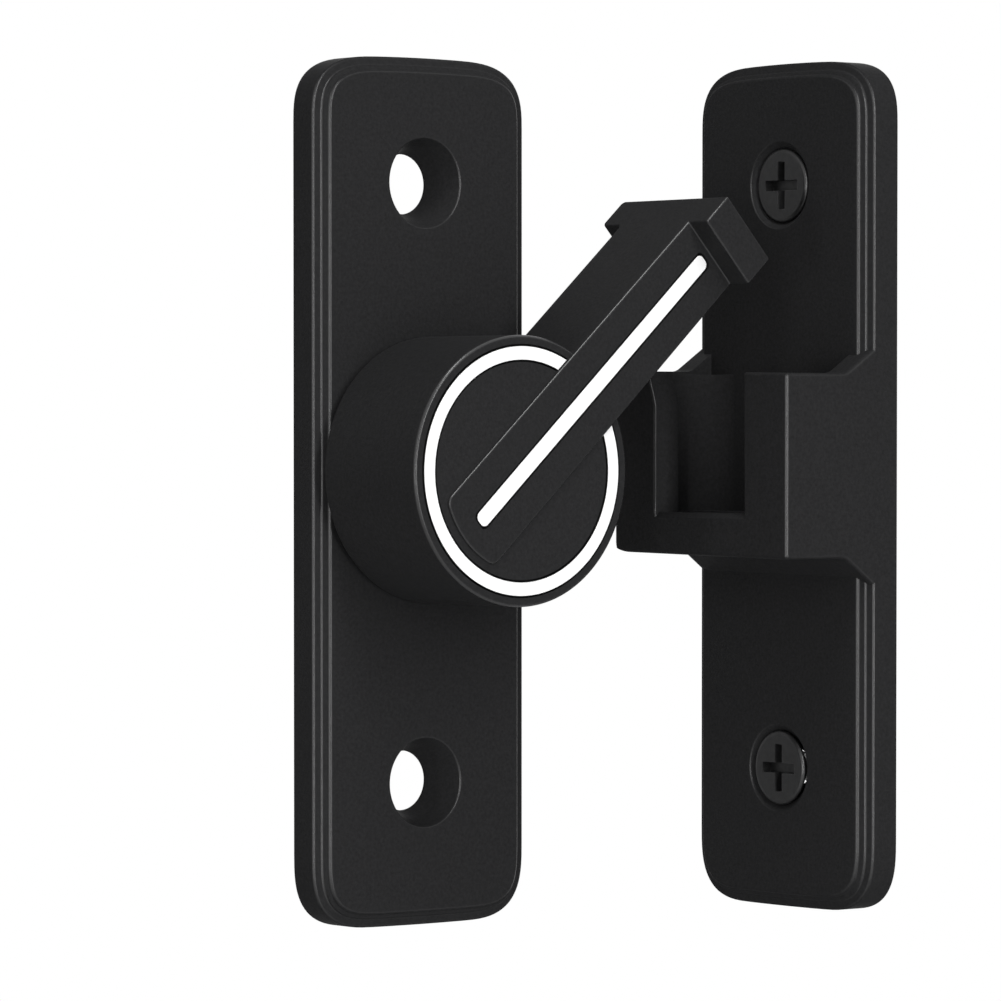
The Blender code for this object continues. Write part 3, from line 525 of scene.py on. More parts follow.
class Paint(Tree):
    """A Principled material with helpers that add and link its nodes."""

    def __init__(self, name, colour, roughness, metallic=0.0, specular=0.5):
        self.material = bpy.data.materials.new(name)
        self.material.use_nodes = True
        super().__init__(self.material.node_tree)
        self.shader = self.tree.nodes["Principled BSDF"]
        self.colour = colour
        self.set("Base Color", colour)
        self.set("Roughness", roughness)
        self.set("Metallic", metallic)
        self.set("Specular IOR Level", specular)
        self.place = self.node("ShaderNodeTexCoord")["Object"]

    def set(self, socket, value):
        self.feed(self.shader, socket, value)

    def noise(self, size, detail=2.0, rough=0.5, stretch=None):
        """Noise whose features are about size metres across."""
        place = self.place
        if stretch:
            place = self.node("ShaderNodeMapping", {
                "Vector": place, "Scale": stretch})["Vector"]
        return self.node("ShaderNodeTexNoise", {
            "Vector": place, "Scale": 1.0 / size, "Detail": detail,
            "Roughness": rough})["Fac"]

    def vary_roughness(self, value, low, high):
        """Maps a noise, which mostly lies from 0.3 to 0.7, onto a range of roughness."""
        self.set("Roughness", self.node("ShaderNodeMapRange", {
            "Value": value, "From Min": 0.3, "From Max": 0.7, "To Min": low,
            "To Max": high})["Result"])

    def mark(self, name):
        """A value that the mesh holds for each of its faces."""
        return self.node("ShaderNodeAttribute", attribute_name=name)["Fac"]

    def mottle(self, value, *shares, painted_shade=None):
        """Lets the colour vary between two shares of itself, and paints the faces that the
        mesh marks as an inlay's sides a dark colour: painted shade for the seam's shadow."""
        dark, light = ([min(1.0, part * by) for part in self.colour[:3]] + [1.0]
                       for by in shares)
        tone = self.node("ShaderNodeMix", {"Factor": value, "A": dark, "B": light},
                         data_type="RGBA")["Result"]
        # Painted shade: a dark colour on the marked side faces stands in for the seam's
        # shadow
        if painted_shade:
            tone = self.node("ShaderNodeMix", {"Factor": self.mark(SIDE_SHADE), "A": tone,
                                               "B": painted_shade}, data_type="RGBA")["Result"]
        self.set("Base Color", tone)

    def rub(self, gloss, rough):
        """Gives the rounded edges a glossier skin."""
        self.set("Coat Roughness", rough)
        self.set("Coat Weight", self.node("ShaderNodeMath", {
            0: self.mark(WORN), 1: gloss}, operation="MULTIPLY")["Value"])

    def relief(self, *heights, edge=0.0):
        """Bumps of (value, height in metres), over edges rounded by the coat."""
        normal = None
        if edge:
            normal = self.node("ShaderNodeBevel", {"Radius": edge}, samples=6)["Normal"]
        for value, height in heights:
            sockets = {"Strength": 1.0, "Distance": height, "Height": value}
            if normal:
                sockets["Normal"] = normal
            normal = self.node("ShaderNodeBump", sockets)["Normal"]
        self.set("Normal", normal)


def powder_coat(looks):
    """Fine-textured matte black, glossier on its rubbed edges. Three castings share it."""
    made = bpy.data.materials.get("powder_coat")
    if made:
        return made
    rough = looks.black_rough
    paint = Paint("powder_coat", looks.black, rough, specular=0.005)
    pebble = paint.noise(looks.grain, 3.0, 0.6)
    fine = paint.noise(looks.grain / 2.6)
    paint.mottle(paint.noise(looks.grain * 1.7, 4.0, 0.65), 0.6, 1.42)
    paint.rub(looks.rubbed, 0.27)
    paint.vary_roughness(paint.noise(0.004, 3.0), rough - 0.05, rough + 0.06)
    paint.relief((pebble, looks.relief), (fine, looks.relief / 2), edge=looks.soft_edge)
    return paint.material


def inlay_white(looks):
    """Matte white plastic with a faint grain, its sides painted near black as the shade in
    the seam.
    """
    paint = Paint("inlay_white", looks.white, 0.5, specular=0.3)
    # The dark colour on the sides is painted shade for the seam beside the inlay
    paint.mottle(paint.noise(0.0012, 3.0), 0.985, 1.0, painted_shade=looks.gap_shade)
    paint.vary_roughness(paint.noise(0.0006), 0.45, 0.58)
    paint.relief((paint.noise(0.00025), 0.000004))
    return paint.material


def blackened_steel(looks):
    """Black oxide on steel: darker in places, with fine handling marks."""
    paint = Paint("blackened_steel", looks.screw, 0.42, 0.4, specular=0.1)
    paint.mottle(paint.noise(0.0009, 4.0, 0.6), 0.75, 1.5)
    paint.rub(1.0, 0.2)
    paint.vary_roughness(paint.noise(0.0005, 3.0), 0.3, 0.48)
    paint.relief((paint.noise(0.00022), 0.000008), edge=0.00012)
    return paint.material


def plated_zinc(looks):
    """Bright zinc plate with cloudy patches."""
    paint = Paint("plated_zinc", looks.zinc, 0.34, 1.0)
    paint.mottle(paint.noise(0.0014, 4.0), 0.86, 1.1)
    paint.vary_roughness(paint.noise(0.0007, 3.0), 0.26, 0.42)
    paint.relief((paint.noise(0.0002), 0.000004), edge=0.0001)
    return paint.material


def spring_steel(looks):
    """Drawn steel, with streaks along one way. Springs and washer share it."""
    made = bpy.data.materials.get("spring_steel")
    if made:
        return made
    paint = Paint("spring_steel", looks.steel, 0.3, 1.0)
    streaks = paint.noise(0.0004, 3.0, 0.6, (1.0, 6.0, 1.0))
    paint.mottle(streaks, 0.85, 1.12)
    paint.vary_roughness(streaks, 0.22, 0.4)
    return paint.material


def natural_nylon(looks):
    """Milky nylon, a little translucent."""
    paint = Paint("natural_nylon", looks.nylon, 0.48)
    paint.set("Subsurface Weight", 0.1)
    paint.set("Subsurface Radius", (0.0008, 0.0007, 0.0006))
    paint.mottle(paint.noise(0.002), 0.95, 1.0)
    paint.vary_roughness(paint.noise(0.0006), 0.4, 0.55)
    return paint.material


# Node tree for repeated shapes

class CoilTree(Tree):
    """The screws' and the springs' tree: it coils a wire round a body, puts both at two
    places and ends in Realize Instances and Set Material. A spring has no body."""

    inputs = {"Geometry": "Geometry", "First": "Vector", "Second": "Vector",
              "Coil": "Float", "Wire": "Float", "Sides": "Int", "Steps": "Int",
              "Turns": "Float", "Start": "Float", "Height": "Float", "Body": "Object",
              "Finish": "Material"}

    def __init__(self, name):
        super().__init__(bpy.data.node_groups.new(name, "GeometryNodeTree"))
        face = self.tree.interface
        for label, kind in self.inputs.items():
            face.new_socket(name=label, in_out="INPUT", socket_type="NodeSocket" + kind)
        face.new_socket(name="Geometry", in_out="OUTPUT", socket_type="NodeSocketGeometry")
        at = self.tree.nodes.new("NodeGroupInput").outputs
        path = self.node("GeometryNodeCurveSpiral", {
            "Resolution": at["Steps"], "Rotations": at["Turns"], "Start Radius": at["Coil"],
            "End Radius": at["Coil"], "Height": at["Height"]})["Curve"]
        wire = self.node("GeometryNodeCurvePrimitiveCircle", {
            "Resolution": at["Sides"], "Radius": at["Wire"]})["Curve"]
        coil = self.node("GeometryNodeCurveToMesh", {
            "Curve": path, "Profile Curve": wire, "Fill Caps": True})["Mesh"]
        start = self.node("ShaderNodeCombineXYZ", {"Z": at["Start"]})["Vector"]
        both = self.tree.nodes.new("GeometryNodeJoinGeometry")
        self.feed(both, "Geometry", self.node("GeometryNodeObjectInfo", {
            "Object": at["Body"]})["Geometry"])
        self.feed(both, "Geometry", self.node("GeometryNodeTransform", {
            "Geometry": coil, "Translation": start})["Geometry"])
        ends = self.node("GeometryNodeMeshLine", {
            "Count": 2, "Start Location": at["First"], "Offset": at["Second"]},
            mode="END_POINTS")["Mesh"]
        pair = self.node("GeometryNodeInstanceOnPoints", {
            "Points": ends, "Instance": both.outputs["Geometry"]})["Instances"]
        real = self.node("GeometryNodeRealizeInstances", {"Geometry": pair})["Geometry"]
        done = self.node("GeometryNodeSetMaterial", {
            "Geometry": real, "Material": at["Finish"]})["Geometry"]
        self.feed(self.tree.nodes.new("NodeGroupOutput"), "Geometry", done)

    def grow(self, values, *tools):
        """Runs the tree on an empty mesh and returns the plain mesh that it makes."""
        name = self.tree.name
        obj = bench_object(name, bpy.data.meshes.new(name))
        modifier = obj.modifiers.new(name, "NODES")
        modifier.node_group = self.tree
        for item in self.tree.interface.items_tree:
            if item.in_out == "INPUT" and item.name in values:
                modifier[item.identifier] = values[item.name]
        return settle(obj, *tools)


# Plates

def soft_corner(centre, span, power, start, steps=20):
    """A quarter turn from start degrees on, whose curve begins and ends gently."""
    points = []
    for i in range(steps + 1):
        angle = math.radians(start + 90 * i / steps)
        point = []
        for middle, size, part in zip(centre, span, (math.cos(angle), math.sin(angle))):
            part = round(part, 9)
            point.append(middle + math.copysign(size * abs(part) ** (2 / power), part))
        points.append(tuple(point))
    return points


def plate_outline(plate):
    """The plate from the front: soft corners, and a slight crown at both ends."""
    half, power = plate.width / 2, plate.power
    (top_x, top_y), (low_x, low_y) = plate.top_corner, plate.low_corner
    top, low = plate.above, -plate.below
    flat = half - max(top_x, low_x)
    middle = [flat * i / 4 for i in range(3, -4, -1)]
    points = (soft_corner((half - top_x, top - top_y), (top_x, top_y), power, 0)
              + [(x, top) for x in middle]
              + soft_corner((-half + top_x, top - top_y), (top_x, top_y), power, 90)
              + soft_corner((-half + low_x, low + low_y), (low_x, low_y), power, 180)
              + [(-x, low) for x in middle]
              + soft_corner((half - low_x, low + low_y), (low_x, low_y), power, 270))
    crowned = []
    for x, y in points:
        crown = -plate.top_crown if y > 0 else plate.low_crown
        crowned.append((x, y + crown * (x / half) ** 2))
    return crowned


def plate_section(plate):
    """The moulding's section as (inset from the outline, height above the back)."""
    foot = plate.side + plate.ledge_rise
    step = plate.ledge + plate.draft
    outer = arc((plate.edge_round, plate.side - plate.edge_round), plate.edge_round,
                180, 90, 5)
    inner = arc((plate.ledge - plate.foot_round, foot + plate.foot_round),
                plate.foot_round, 270, 360, 5)
    face = arc((step + plate.face_round, plate.thick - plate.face_round),
               plate.face_round, 180, 90, 6)
    return outer + inner + face


def plate_mesh(name, plate):
    """The outline drawn out to its section by one inset of its face after another."""
    bm = bmesh.new()
    back = bm.faces.new([bm.verts.new((x, y, 0.0)) for x, y in plate_outline(plate)])
    back.normal_update()
    grown = bmesh.ops.extrude_face_region(bm, geom=[back])["geom"]
    face = next(item for item in grown if isinstance(item, bmesh.types.BMFace))
    section = plate_section(plate)
    bmesh.ops.translate(bm, verts=face.verts, vec=(0, 0, section[0][1]))
    bmesh.ops.recalc_face_normals(bm, faces=bm.faces)
    for (inset, height), (next_inset, next_height) in zip(section, section[1:]):
        bmesh.ops.inset_individual(bm, faces=[face], thickness=next_inset - inset,
                                   depth=next_height - height, use_even_offset=True)
    bmesh.ops.recalc_face_normals(bm, faces=bm.faces)
    return mesh_from(bm, name)


def screw_hole(name, plate, height, hole, sink):
    """A countersunk hole whose rim rolls over into the raised face."""
    slope = math.atan2(plate.rim - hole, sink)
    above = plate.thick + OVER
    roll = plate.sink_round
    turn = math.pi / 2 - slope
    start = plate.rim + roll * math.tan(turn / 2)
    wide = start + roll / 4
    rim = []
    for i in range(6):
        angle = math.pi / 2 + turn * i / 5
        rim.append((start + roll * math.cos(angle),
                    plate.thick - roll + roll * math.sin(angle)))
    profile = ([(0, above), (wide, above), (wide, plate.thick)] + rim
               + [(hole, plate.thick - sink), (hole, -OVER), (0, -OVER)])
    mesh = turned(name, profile, 72)
    mesh.transform(Matrix.Translation((0, height, 0)))
    return mesh


def holed_plate(name, plate, hole, sink):
    piece = Workpiece(name, plate_mesh(name, plate))
    piece.cut(screw_hole("upper_hole", plate, plate.holes[0], hole, sink),
              screw_hole("lower_hole", plate, -plate.holes[1], hole, sink))
    return piece


class LATCH_OT_lock_plate(Operator):
    """Make the lock plate with its holes, recess, stop lug and dimples"""

    bl_idname = "latch.lock_plate"
    bl_label = "Lock Plate"

    def execute(self, context):
        plate, track = context.scene.latch_plate, context.scene.latch_track
        piece = holed_plate("lock_plate_cast", plate, plate.lock_hole, plate.lock_sink)
        piece.cut(cylinder("pivot_bore", plate.bore, -OVER, plate.thick + OVER),
                  cylinder("recess", plate.recess, -OVER, plate.thick - plate.web))
        centre = plate.thick - track.dimple_depth + track.dimple
        for angle in (45, 135, 225, 315):
            x, y = polar(track.radius, angle)
            piece.cut(ball(f"dimple_{angle}", track.dimple, (x, y, centre)))
        piece.join(cylinder("stop_lug", track.lug, plate.thick - OVER, track.lug_top,
                            polar(track.radius, 90), 48))
        finish_piece("lock_plate_cast", piece.mesh(), lock_place(), BASE, ["lock_plate"],
                     powder_coat(context.scene.latch_finish))
        return {"FINISHED"}


# Catch

def hollow(catch, level, slope, side, steps=6):
    """The hollow curve from the block's level top or underside into its gusset."""
    turn = math.atan(slope)
    start = catch.gusset + catch.turn * math.tan(turn / 2)
    points = []
    for i in range(steps + 1):
        angle = turn * i / steps
        points.append((level + side * catch.turn * (1 - math.cos(angle)),
                       start - catch.turn * math.sin(angle)))
    return points


def block_outline(plate, catch):
    """The block from its side, as (height on the plate, height off the wall)."""
    inside = plate.side / 3
    reach = catch.gusset - plate.side
    extra = (plate.side - inside) / 2
    top_end, low_end = catch.top + catch.gusset_rise, -catch.bottom - catch.foot_drop
    top_slope, foot_slope = catch.gusset_rise / reach, catch.foot_drop / reach
    return ([(catch.top, catch.front)] + hollow(catch, catch.top, top_slope, 1)
            + [(top_end, plate.side), (top_end + top_slope * extra, inside),
               (low_end - foot_slope * extra, inside), (low_end, plate.side)]
            + hollow(catch, -catch.bottom, foot_slope, -1)[::-1]
            + [(-catch.bottom, catch.front)])


def block_mesh(plate, catch):
    """The block, each sharp edge weighted by how far it is to be rounded."""
    half = plate.width / 2
    mesh = slab("block", block_outline(plate, catch), -half, half, "YZ")
    with edited(mesh) as bm:
        join_flats(bm, 0.1)
        weight = bm.edges.layers.float.new(WEIGHT)
        for edge in bm.edges:
            if edge.calc_face_angle(0.0) >= SHARP:
                under_far = all(v.co.x < 0 and v.co.y < catch.round - catch.bottom
                                for v in edge.verts)
                edge[weight] = 1.0 if under_far else catch.round / catch.far_round
        for vert in bm.verts:
            if vert.co.x < 0:
                vert.co.y += catch.far_rise
    return mesh


def ease_mouth(mesh, catch):
    """Rounds the two upright edges where the slot opens in the block's face."""
    wide, skin = catch.slot / 2 + catch.flare + 10 * HAIR, catch.front - HAIR
    with edited(mesh) as bm:
        weight = bm.edges.layers.float.get(WEIGHT)
        for edge in bm.edges:
            edge[weight] = float(edge.calc_face_angle(0.0) > SHARP
                                 and all(abs(v.co.x) < wide and v.co.z > skin
                                         and v.co.y > -catch.floor - catch.lead
                                         for v in edge.verts))
    mouth = Workpiece("mouth", mesh)
    mouth.ease(catch.mouth_round)
    return mouth.mesh()


def slot_outline(catch):
    """The slot between the lips from the front, with the far lip's flared mouth."""
    half = catch.slot / 2
    wide, above, neck = half + catch.flare, catch.top + OVER, catch.top - catch.flare_depth
    return [(half, -catch.floor), (half, above), (-wide, above), (-wide, catch.top),
            (-half, neck), (-half, -catch.floor)]


def chamber_outline(plate, catch):
    """The room behind the lips from the side, open at its top."""
    behind_lip, lead = catch.front - catch.lip, catch.lead
    above, deep = catch.top + 2 * catch.gusset_rise, plate.thick - OVER
    return [(-catch.floor, behind_lip), (-catch.floor, deep), (above, deep),
            (above, behind_lip + lead), (catch.top, behind_lip + lead),
            (catch.top - lead, behind_lip)]


def corner_outline(plate, catch):
    """What fills the chamber's far corner, as (height off the wall, across)."""
    side, deep, past = catch.wall - plate.width / 2, plate.thick, OVER / 2
    rim = arc((deep + catch.corner, side + catch.corner), catch.corner, 180, 270, 12)
    return rim + [(deep + catch.corner, side - past), (deep - past, side - past),
                  (deep - past, side + catch.corner)]


def floor_lead_outline(catch):
    """The bevel where the slot's floor meets the block's face."""
    lead = catch.lead * 0.75
    floor, behind, before = -catch.floor, catch.front - lead, catch.front + OVER
    return [(floor, behind), (floor - lead - OVER, before), (floor + OVER, before),
            (floor + OVER, behind)]


class LATCH_OT_catch_plate(Operator):
    """Make the catch plate with its T-slotted block"""

    bl_idname = "latch.catch_plate"
    bl_label = "Catch Plate"

    def execute(self, context):
        plate, catch = context.scene.latch_plate, context.scene.latch_catch
        half, lip = plate.width / 2, catch.slot / 2
        block = Workpiece("block", block_mesh(plate, catch))
        block.ease(catch.far_round, 5)
        chamber = Workpiece("chamber", slab("chamber", chamber_outline(plate, catch),
                                            catch.wall - half, half - catch.wall, "YZ"))
        chamber.cut(slab("corner", corner_outline(plate, catch), -catch.floor - OVER,
                         catch.top, "ZX"))
        block.cut(slab("mouth", slot_outline(catch), catch.front - catch.lip - OVER,
                       catch.front + OVER), chamber.mesh(),
                  slab("floor_lead", floor_lead_outline(catch), -lip, lip, "YZ"))
        piece = holed_plate("catch_plate_cast", plate, plate.catch_hole, plate.catch_sink)
        piece.join(ease_mouth(block.mesh(), catch))
        finish_piece("catch_plate_cast", piece.mesh(), catch_place(catch), BASE,
                     ["catch_plate"],
                     powder_coat(context.scene.latch_finish))
        return {"FINISHED"}


# Lever

def knob_profile(knob):
    rim = arc((knob.radius - knob.edge, knob.face - knob.edge), knob.edge, 90, 0, 5)
    back = arc((knob.radius - knob.back_edge, knob.back + knob.back_edge), knob.back_edge,
               0, -90, 5)
    cup, ceiling = knob.radius - knob.wall, knob.face - knob.cover
    inside = [(cup, knob.back), (cup, ceiling), (knob.hub, ceiling),
              (knob.hub, knob.shoulder), (knob.spigot, knob.shoulder),
              (knob.spigot, knob.spigot_end), (knob.pilot, knob.spigot_end),
              (knob.pilot, knob.pilot_end), (0, knob.pilot_end)]
    return [(0, knob.face)] + rim + back + inside


def bar_outline(knob, margin=0.0):
    """The bar and arm from the front, tapered from the knob to the head."""
    start, end = knob.bar_wide / 2 + margin, knob.bar_narrow / 2 + margin
    corner, reach = knob.bar_corner, knob.bar_start + margin
    turn = math.asin((start - corner) / (reach - corner))
    along, swing = (reach - corner) * math.cos(turn), math.degrees(turn)
    return (arc((-along, start - corner), corner, 90, 180 - swing, 8)
            + arc((0, 0), reach, 180 - swing, 180 + swing, 16)[1:-1]
            + arc((-along, -start + corner), corner, 180 + swing, 270, 8)
            + [(knob.head_start, -end), (knob.head_end + OVER, -end),
               (knob.head_end + OVER, end), (knob.head_start, end)])


def arm_side(knob):
    """The arm from its side, as (height off the wall, distance along the arm)."""
    bar_face = knob.face + knob.bar_lift
    in_face = knob.face - knob.cover / 2
    in_wall = knob.radius - knob.wall / 2
    start = -knob.bar_start - OVER
    rear, foot = knob.back_round, knob.back_foot
    turns = [((knob.arm_back - foot, knob.head_start - foot), foot, 0, 90),
             ((knob.head_back + rear, knob.head_start + rear), rear, 270, 180),
             ((knob.head_back + rear, knob.head_end - rear), rear, 180, 90)]
    outline = [(in_face, start), (in_face, in_wall), (knob.arm_back, in_wall)]
    for centre, radius, first, last in turns:
        outline += arc(centre, radius, first, last, 6)
    return outline + [(knob.head_front, knob.head_end), (knob.head_front, knob.head_start),
                      (bar_face, knob.head_start), (bar_face, start)]


def ring_mesh(name, knob, inner, outer, low, high, margin):
    """A flat ring that stops short of the bar at both of its ends."""
    ring = Workpiece(name, turned(name, [(inner, high), (outer, high), (outer, low),
                                         (inner, low)], 192))
    ring.cut(slab("gap", bar_outline(knob, margin), low - OVER, high + OVER))
    return ring.mesh()


def stripe_outline(inlay, margin):
    half, corner = inlay.width / 2 - margin, inlay.end_round
    start, end = -inlay.start + margin, inlay.end - margin
    return (arc((end - corner, half - corner), corner, 0, 90, 8)
            + arc((start + corner, half - corner), corner, 90, 180, 8)
            + arc((start + corner, -half + corner), corner, 180, 270, 8)
            + arc((end - corner, -half + corner), corner, 270, 360, 8))


def rib_mesh(name, knob, track, angle):
    """A rib from the hub to the cup's wall, which meets the stop at its limit."""
    start, end = knob.hub - track.rib / 2, knob.radius - knob.wall * 0.75
    half = track.rib / 2
    mesh = slab(name, [(start, -half), (end, -half), (end, half), (start, half)],
                track.rib_back, knob.face - knob.cover * 0.75)
    mesh.transform(Matrix.Rotation(math.radians(angle), 4, "Z"))
    return mesh


class LATCH_OT_lever(Operator):
    """Make the knob with its bar, arm, T head and grooves"""

    bl_idname = "latch.lever"
    bl_label = "Knob and Arm"

    def execute(self, context):
        scene = context.scene
        knob, inlay, track = scene.latch_knob, scene.latch_inlay, scene.latch_track
        arm = Workpiece("arm", slab("arm", arm_side(knob), -knob.bar_wide, knob.bar_wide,
                                    "ZX"))
        arm.trim(slab("arm_plan", bar_outline(knob), 0, knob.head_front + OVER))
        arm.ease(knob.arm_edge, limit="ANGLE")
        piece = Workpiece("lever_cast", turned("lever_cast", knob_profile(knob), 160))
        piece.join(arm.mesh())
        swing = math.degrees(math.asin((track.lug + track.rib / 2 + track.stop_gap)
                                       / track.radius))
        piece.join(rib_mesh("rib_latched", knob, track, 90 + swing),
                   rib_mesh("rib_open", knob, track, 270 - swing))
        for angle in (135, 225):
            at = polar(track.radius, angle)
            piece.join(cylinder(f"boss_{angle}", track.boss, track.rib_back,
                                knob.face - knob.cover * 0.66, at, 48))
            piece.cut(cylinder(f"pocket_{angle}", track.pocket, knob.back - OVER,
                               track.pocket_end, at, 48))
        bar_face = knob.face + knob.bar_lift
        piece.cut(ring_mesh("ring_groove", knob, inlay.inner, inlay.outer,
                            knob.face - inlay.depth, knob.face + OVER, inlay.margin),
                  slab("stripe_groove", stripe_outline(inlay, 0.0), bar_face - inlay.depth,
                       bar_face + OVER))
        finish_piece("lever_cast", piece.mesh(), lever_place(knob), LEVER, ["lever"],
                     powder_coat(scene.latch_finish))
        return {"FINISHED"}


class LATCH_OT_inlays(Operator):
    """Make the white ring and the white stripe"""

    bl_idname = "latch.inlays"
    bl_label = "Inlays"

    def execute(self, context):
        scene = context.scene
        knob, inlay = scene.latch_knob, scene.latch_inlay
        white = inlay_white(scene.latch_finish)
        bar_face = knob.face + knob.bar_lift
        ring = ring_mesh("ring", knob, inlay.inner + inlay.gap, inlay.outer - inlay.gap,
                         knob.face - inlay.depth + inlay.gap, knob.face + inlay.rise,
                         inlay.margin * 2)
        stripe = slab("stripe", stripe_outline(inlay, inlay.gap),
                      bar_face - inlay.depth + inlay.gap, bar_face - inlay.sink)
        place = lever_place(knob)
        for name, mesh, node in (("ring_white", ring, "ring_inlay"),
                                 ("stripe_white", stripe, "stripe_inlay")):
            # The sides marked here are painted dark as the shade in the seams
            mark_sides(finish_piece(name, mesh, place, LEVER, [node],
                                    white).data)
        return {"FINISHED"}


# Fasteners and the parts inside the pivot

def cross_wedges(screw, top):
    """Two crossed wedges, shorter at the bottom, that cut a cross recess."""
    wedges = []
    for turn in (0, 90):
        bm = bmesh.new()
        low = screw.cross / 2 - screw.cross_depth * 0.25
        for vert in bmesh.ops.create_cube(bm, size=1.0)["verts"]:
            deep = vert.co.z < 0
            vert.co.x = math.copysign(low if deep else screw.cross / 2, vert.co.x)
            vert.co.y = math.copysign(screw.cross_arm / 2, vert.co.y)
            vert.co.z = top - screw.cross_depth if deep else top + OVER
        bmesh.ops.rotate(bm, verts=bm.verts,
                         matrix=Matrix.Rotation(math.radians(turn), 3, "Z"))
        wedges.append(mesh_from(bm, f"cross_{turn}"))
    return wedges


def screw_body(screw, top):
    """A countersunk head on a tapered core, its rim eased, with a cross recess."""
    land = top - screw.land
    neck = land - (screw.head - screw.shank)
    tip = top - screw.length
    rim = [(screw.head - screw.round * (1 - across), land + screw.land * up)
           for across, up in arc((0, 0), 1.0, 90, 0, 6)]
    profile = ([(0, top)] + rim
               + [(screw.shank, neck), (screw.core, neck - screw.pitch / 2),
                  (screw.core, tip + screw.point), (0, tip)])
    body = Workpiece("screw", turned("screw", profile, 64))
    body.cut(*cross_wedges(screw, top))
    return bench_object("screw", even_faces(body.mesh(), 40))


class LATCH_OT_catch_screws(Operator):
    """Make the two screws in the catch"""

    bl_idname = "latch.catch_screws"
    bl_label = "Catch Screws"

    def execute(self, context):
        scene = context.scene
        plate, screw = scene.latch_plate, scene.latch_screw
        steel = blackened_steel(scene.latch_finish)
        top = plate.thick - screw.head_sink
        body = screw_body(screw, top)
        tip = top - screw.length
        run = screw.length - (screw.head - screw.core) - screw.point - screw.pitch
        mesh = CoilTree("catch_screws").grow({
            "First": (0, -plate.holes[1], screw.lower_rise),
            "Second": (0, plate.holes[0], 0),
            "Coil": screw.core, "Wire": screw.shank - screw.core, "Sides": 3, "Steps": 28,
            "Turns": run / screw.pitch, "Start": tip + screw.point, "Height": run,
            "Body": body, "Finish": steel}, body)
        finish_piece("catch_screws", mesh, catch_place(scene.latch_catch), BASE,
                     ["catch_screw_upper", "catch_screw_lower"], steel, 40)
        return {"FINISHED"}


class LATCH_OT_springs(Operator):
    """Make the two springs behind the balls"""

    bl_idname = "latch.springs"
    bl_label = "Springs"

    def execute(self, context):
        scene = context.scene
        track = scene.latch_track
        steel = spring_steel(scene.latch_finish)
        mesh = CoilTree("detent_springs").grow({
            "First": (*polar(track.radius, 135), track.low),
            "Second": (*polar(track.radius, 225), track.low), "Coil": track.coil,
            "Wire": track.wire, "Sides": 10, "Steps": 24, "Turns": track.turns,
            "Height": track.high - track.low, "Finish": steel})
        finish_piece("detent_springs", mesh, lever_place(scene.latch_knob), LEVER,
                     ["detent_spring_1", "detent_spring_2"], steel, 60)
        return {"FINISHED"}


def smooth_copy(node, body, material, angle=40):
    """A CAD node's own shape, its faces joined and shaded smooth."""
    mesh = weld(frame["nodes"][node].data.copy())
    return finish_piece(node + "_smooth", mesh, Matrix.Identity(4), body, [node],
                        material, angle)


class LATCH_OT_pivot(Operator):
    """Dress the bush, washers, pivot screw and balls"""

    bl_idname = "latch.pivot"
    bl_label = "Pivot Parts"

    def execute(self, context):
        looks = context.scene.latch_finish
        zinc, nylon = plated_zinc(looks), natural_nylon(looks)
        smooth_copy("pivot_bush", BASE, nylon)
        smooth_copy("wave_washer", LEVER, spring_steel(looks))
        for node in ("retaining_washer", "pivot_screw", "detent_ball_1", "detent_ball_2"):
            smooth_copy(node, LEVER, zinc)
        return {"FINISHED"}


# Studio

def studio_light(name, place, size, power):
    """A soft box that looks at the latch's middle."""
    light = bpy.data.lights.new(name, "AREA")
    light.shape = "RECTANGLE"
    light.size, light.size_y = size
    light.energy = power
    obj = bench_object(name, light)
    obj.location = place
    aim = Vector(MIDDLE) - Vector(place)
    obj.rotation_euler = aim.to_track_quat("-Z", "Y").to_euler()


def seen_by_picture(tree):
    """One where a camera, glossy or transmission ray looks, and zero elsewhere."""
    path = tree.node("ShaderNodeLightPath")
    total = path["Is Camera Ray"]
    for ray in ("Is Glossy Ray", "Is Transmission Ray"):
        total = tree.node("ShaderNodeMath", {0: total, 1: path[ray]},
                          operation="MAXIMUM")["Value"]
    return total


def studio_world(ambient):
    """White where it is seen, and dim where it lights."""
    world = bpy.data.worlds.new("studio")
    world.use_nodes = True
    tree = Tree(world.node_tree)
    background = tree.tree.nodes["Background"]
    tree.feed(background, "Color", (1, 1, 1, 1))
    tree.feed(background, "Strength", tree.node("ShaderNodeMapRange", {
        "Value": seen_by_picture(tree), "To Min": ambient, "To Max": 1.0})["Result"])
    return world


def floor_material(radius):
    """Pale floor that keeps its shadow and fades to white towards its edge."""
    paint = Paint("pale_floor", (0.9, 0.9, 0.9, 1), 0.9, specular=0.1)
    span = paint.node("ShaderNodeVectorMath", {0: paint.place}, operation="LENGTH")["Value"]
    fade = paint.node("ShaderNodeMapRange", {
        "Value": span, "From Min": radius * 0.25, "From Max": radius * 0.9},
        interpolation_type="SMOOTHSTEP")["Result"]
    seen = paint.node("ShaderNodeMath", {0: fade, 1: seen_by_picture(paint)},
                      operation="MULTIPLY")["Value"]
    white = paint.node("ShaderNodeEmission")["Emission"]
    mix = paint.node("ShaderNodeMixShader", {
        "Fac": seen, 1: paint.shader.outputs["BSDF"], 2: white})["Shader"]
    paint.feed(paint.tree.nodes["Material Output"], "Surface", mix)
    return paint.material


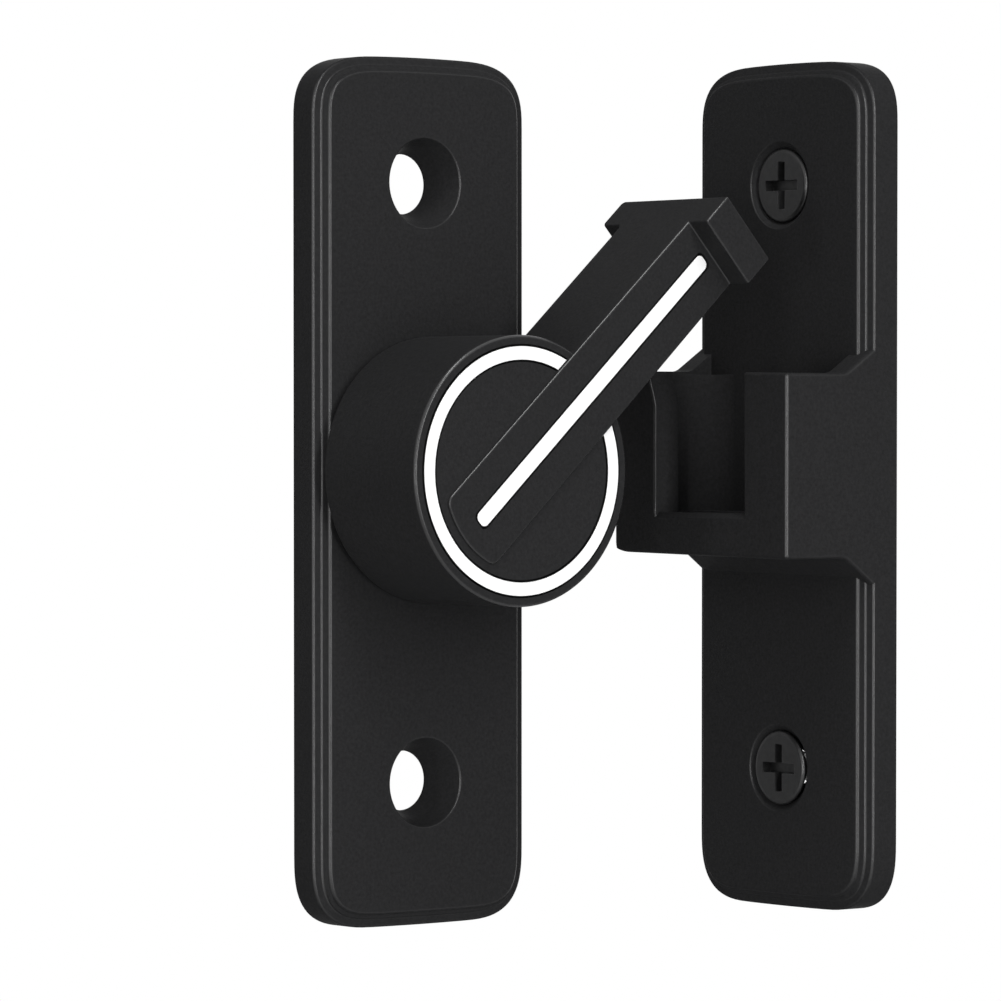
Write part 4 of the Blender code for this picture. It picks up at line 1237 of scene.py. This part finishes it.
class LATCH_OT_studio(Operator):
    """Make the floor, the lights, the world and the camera"""

    bl_idname = "latch.studio"
    bl_label = "Studio"

    def execute(self, context):
        scene, looks = context.scene, context.scene.latch_studio
        bm = bmesh.new()
        bmesh.ops.create_circle(bm, cap_ends=True, segments=96, radius=looks.floor_radius)
        floor = bench_object("floor", mesh_from(bm, "floor"))
        floor.location = (MIDDLE[0], 0.0, -looks.floor)
        floor.data.materials.append(floor_material(looks.floor_radius))

        studio_light("key", (-0.10, -0.76, 0.19), (0.10, 1.0), 4.5)
        studio_light("strip", (-0.56, -0.49, 0.10), (0.025, 0.5), 1.0)
        studio_light("side", (-0.66, -0.17, -0.06), (0.08, 0.2), 0.4)
        studio_light("top", (-0.12, -0.22, 0.62), (0.15, 0.3), 1.9)
        scene.world = studio_world(looks.ambient)
        scene.view_settings.view_transform = "Standard"

        turn, pitch = looks.turn, looks.pitch
        forward = Vector((math.sin(turn) * math.cos(pitch),
                          math.cos(turn) * math.cos(pitch), -math.sin(pitch)))
        right = Vector((math.cos(turn), -math.sin(turn), 0.0))
        up = right.cross(forward)
        camera = bpy.data.cameras.new("camera")
        camera.sensor_width = 36.0
        camera.lens = looks.focal * camera.sensor_width / looks.frame
        camera.shift_y = (looks.horizon - looks.frame / 2) / looks.frame
        camera.clip_start, camera.clip_end = 0.01, 20.0
        eye = bench_object("camera", camera)
        eye.location = -(looks.right * right + looks.up * up + looks.distance * forward)
        eye.rotation_euler = Matrix((right, up, -forward)).transposed().to_euler()
        scene.camera = eye
        return {"FINISHED"}


class LATCH_PT_panel(Panel):
    """Lists the latch's pieces"""

    bl_idname = "LATCH_PT_panel"
    bl_label = "Barn Door Latch"
    bl_space_type = "VIEW_3D"
    bl_region_type = "UI"
    bl_category = "Latch"

    def draw(self, context):
        for step in STEPS:
            self.layout.operator(step.bl_idname)


STEPS = (LATCH_OT_studio, LATCH_OT_lock_plate, LATCH_OT_catch_plate, LATCH_OT_lever,
         LATCH_OT_inlays, LATCH_OT_catch_screws, LATCH_OT_springs, LATCH_OT_pivot)
CLASSES = (*GROUPS.values(), *STEPS, LATCH_PT_panel)


def register():
    for item in CLASSES:
        bpy.utils.register_class(item)
    for name, group in GROUPS.items():
        setattr(bpy.types.Scene, name, PointerProperty(type=group))


def unregister():
    for name in GROUPS:
        delattr(bpy.types.Scene, name)
    for item in reversed(CLASSES):
        bpy.utils.unregister_class(item)


def main():
    register()
    bpy.ops.latch.studio()
    bpy.ops.latch.lock_plate()
    bpy.ops.latch.catch_plate()
    bpy.ops.latch.lever()
    bpy.ops.latch.inlays()
    bpy.ops.latch.catch_screws()
    bpy.ops.latch.springs()
    bpy.ops.latch.pivot()


if __name__ == "__main__":
    main()
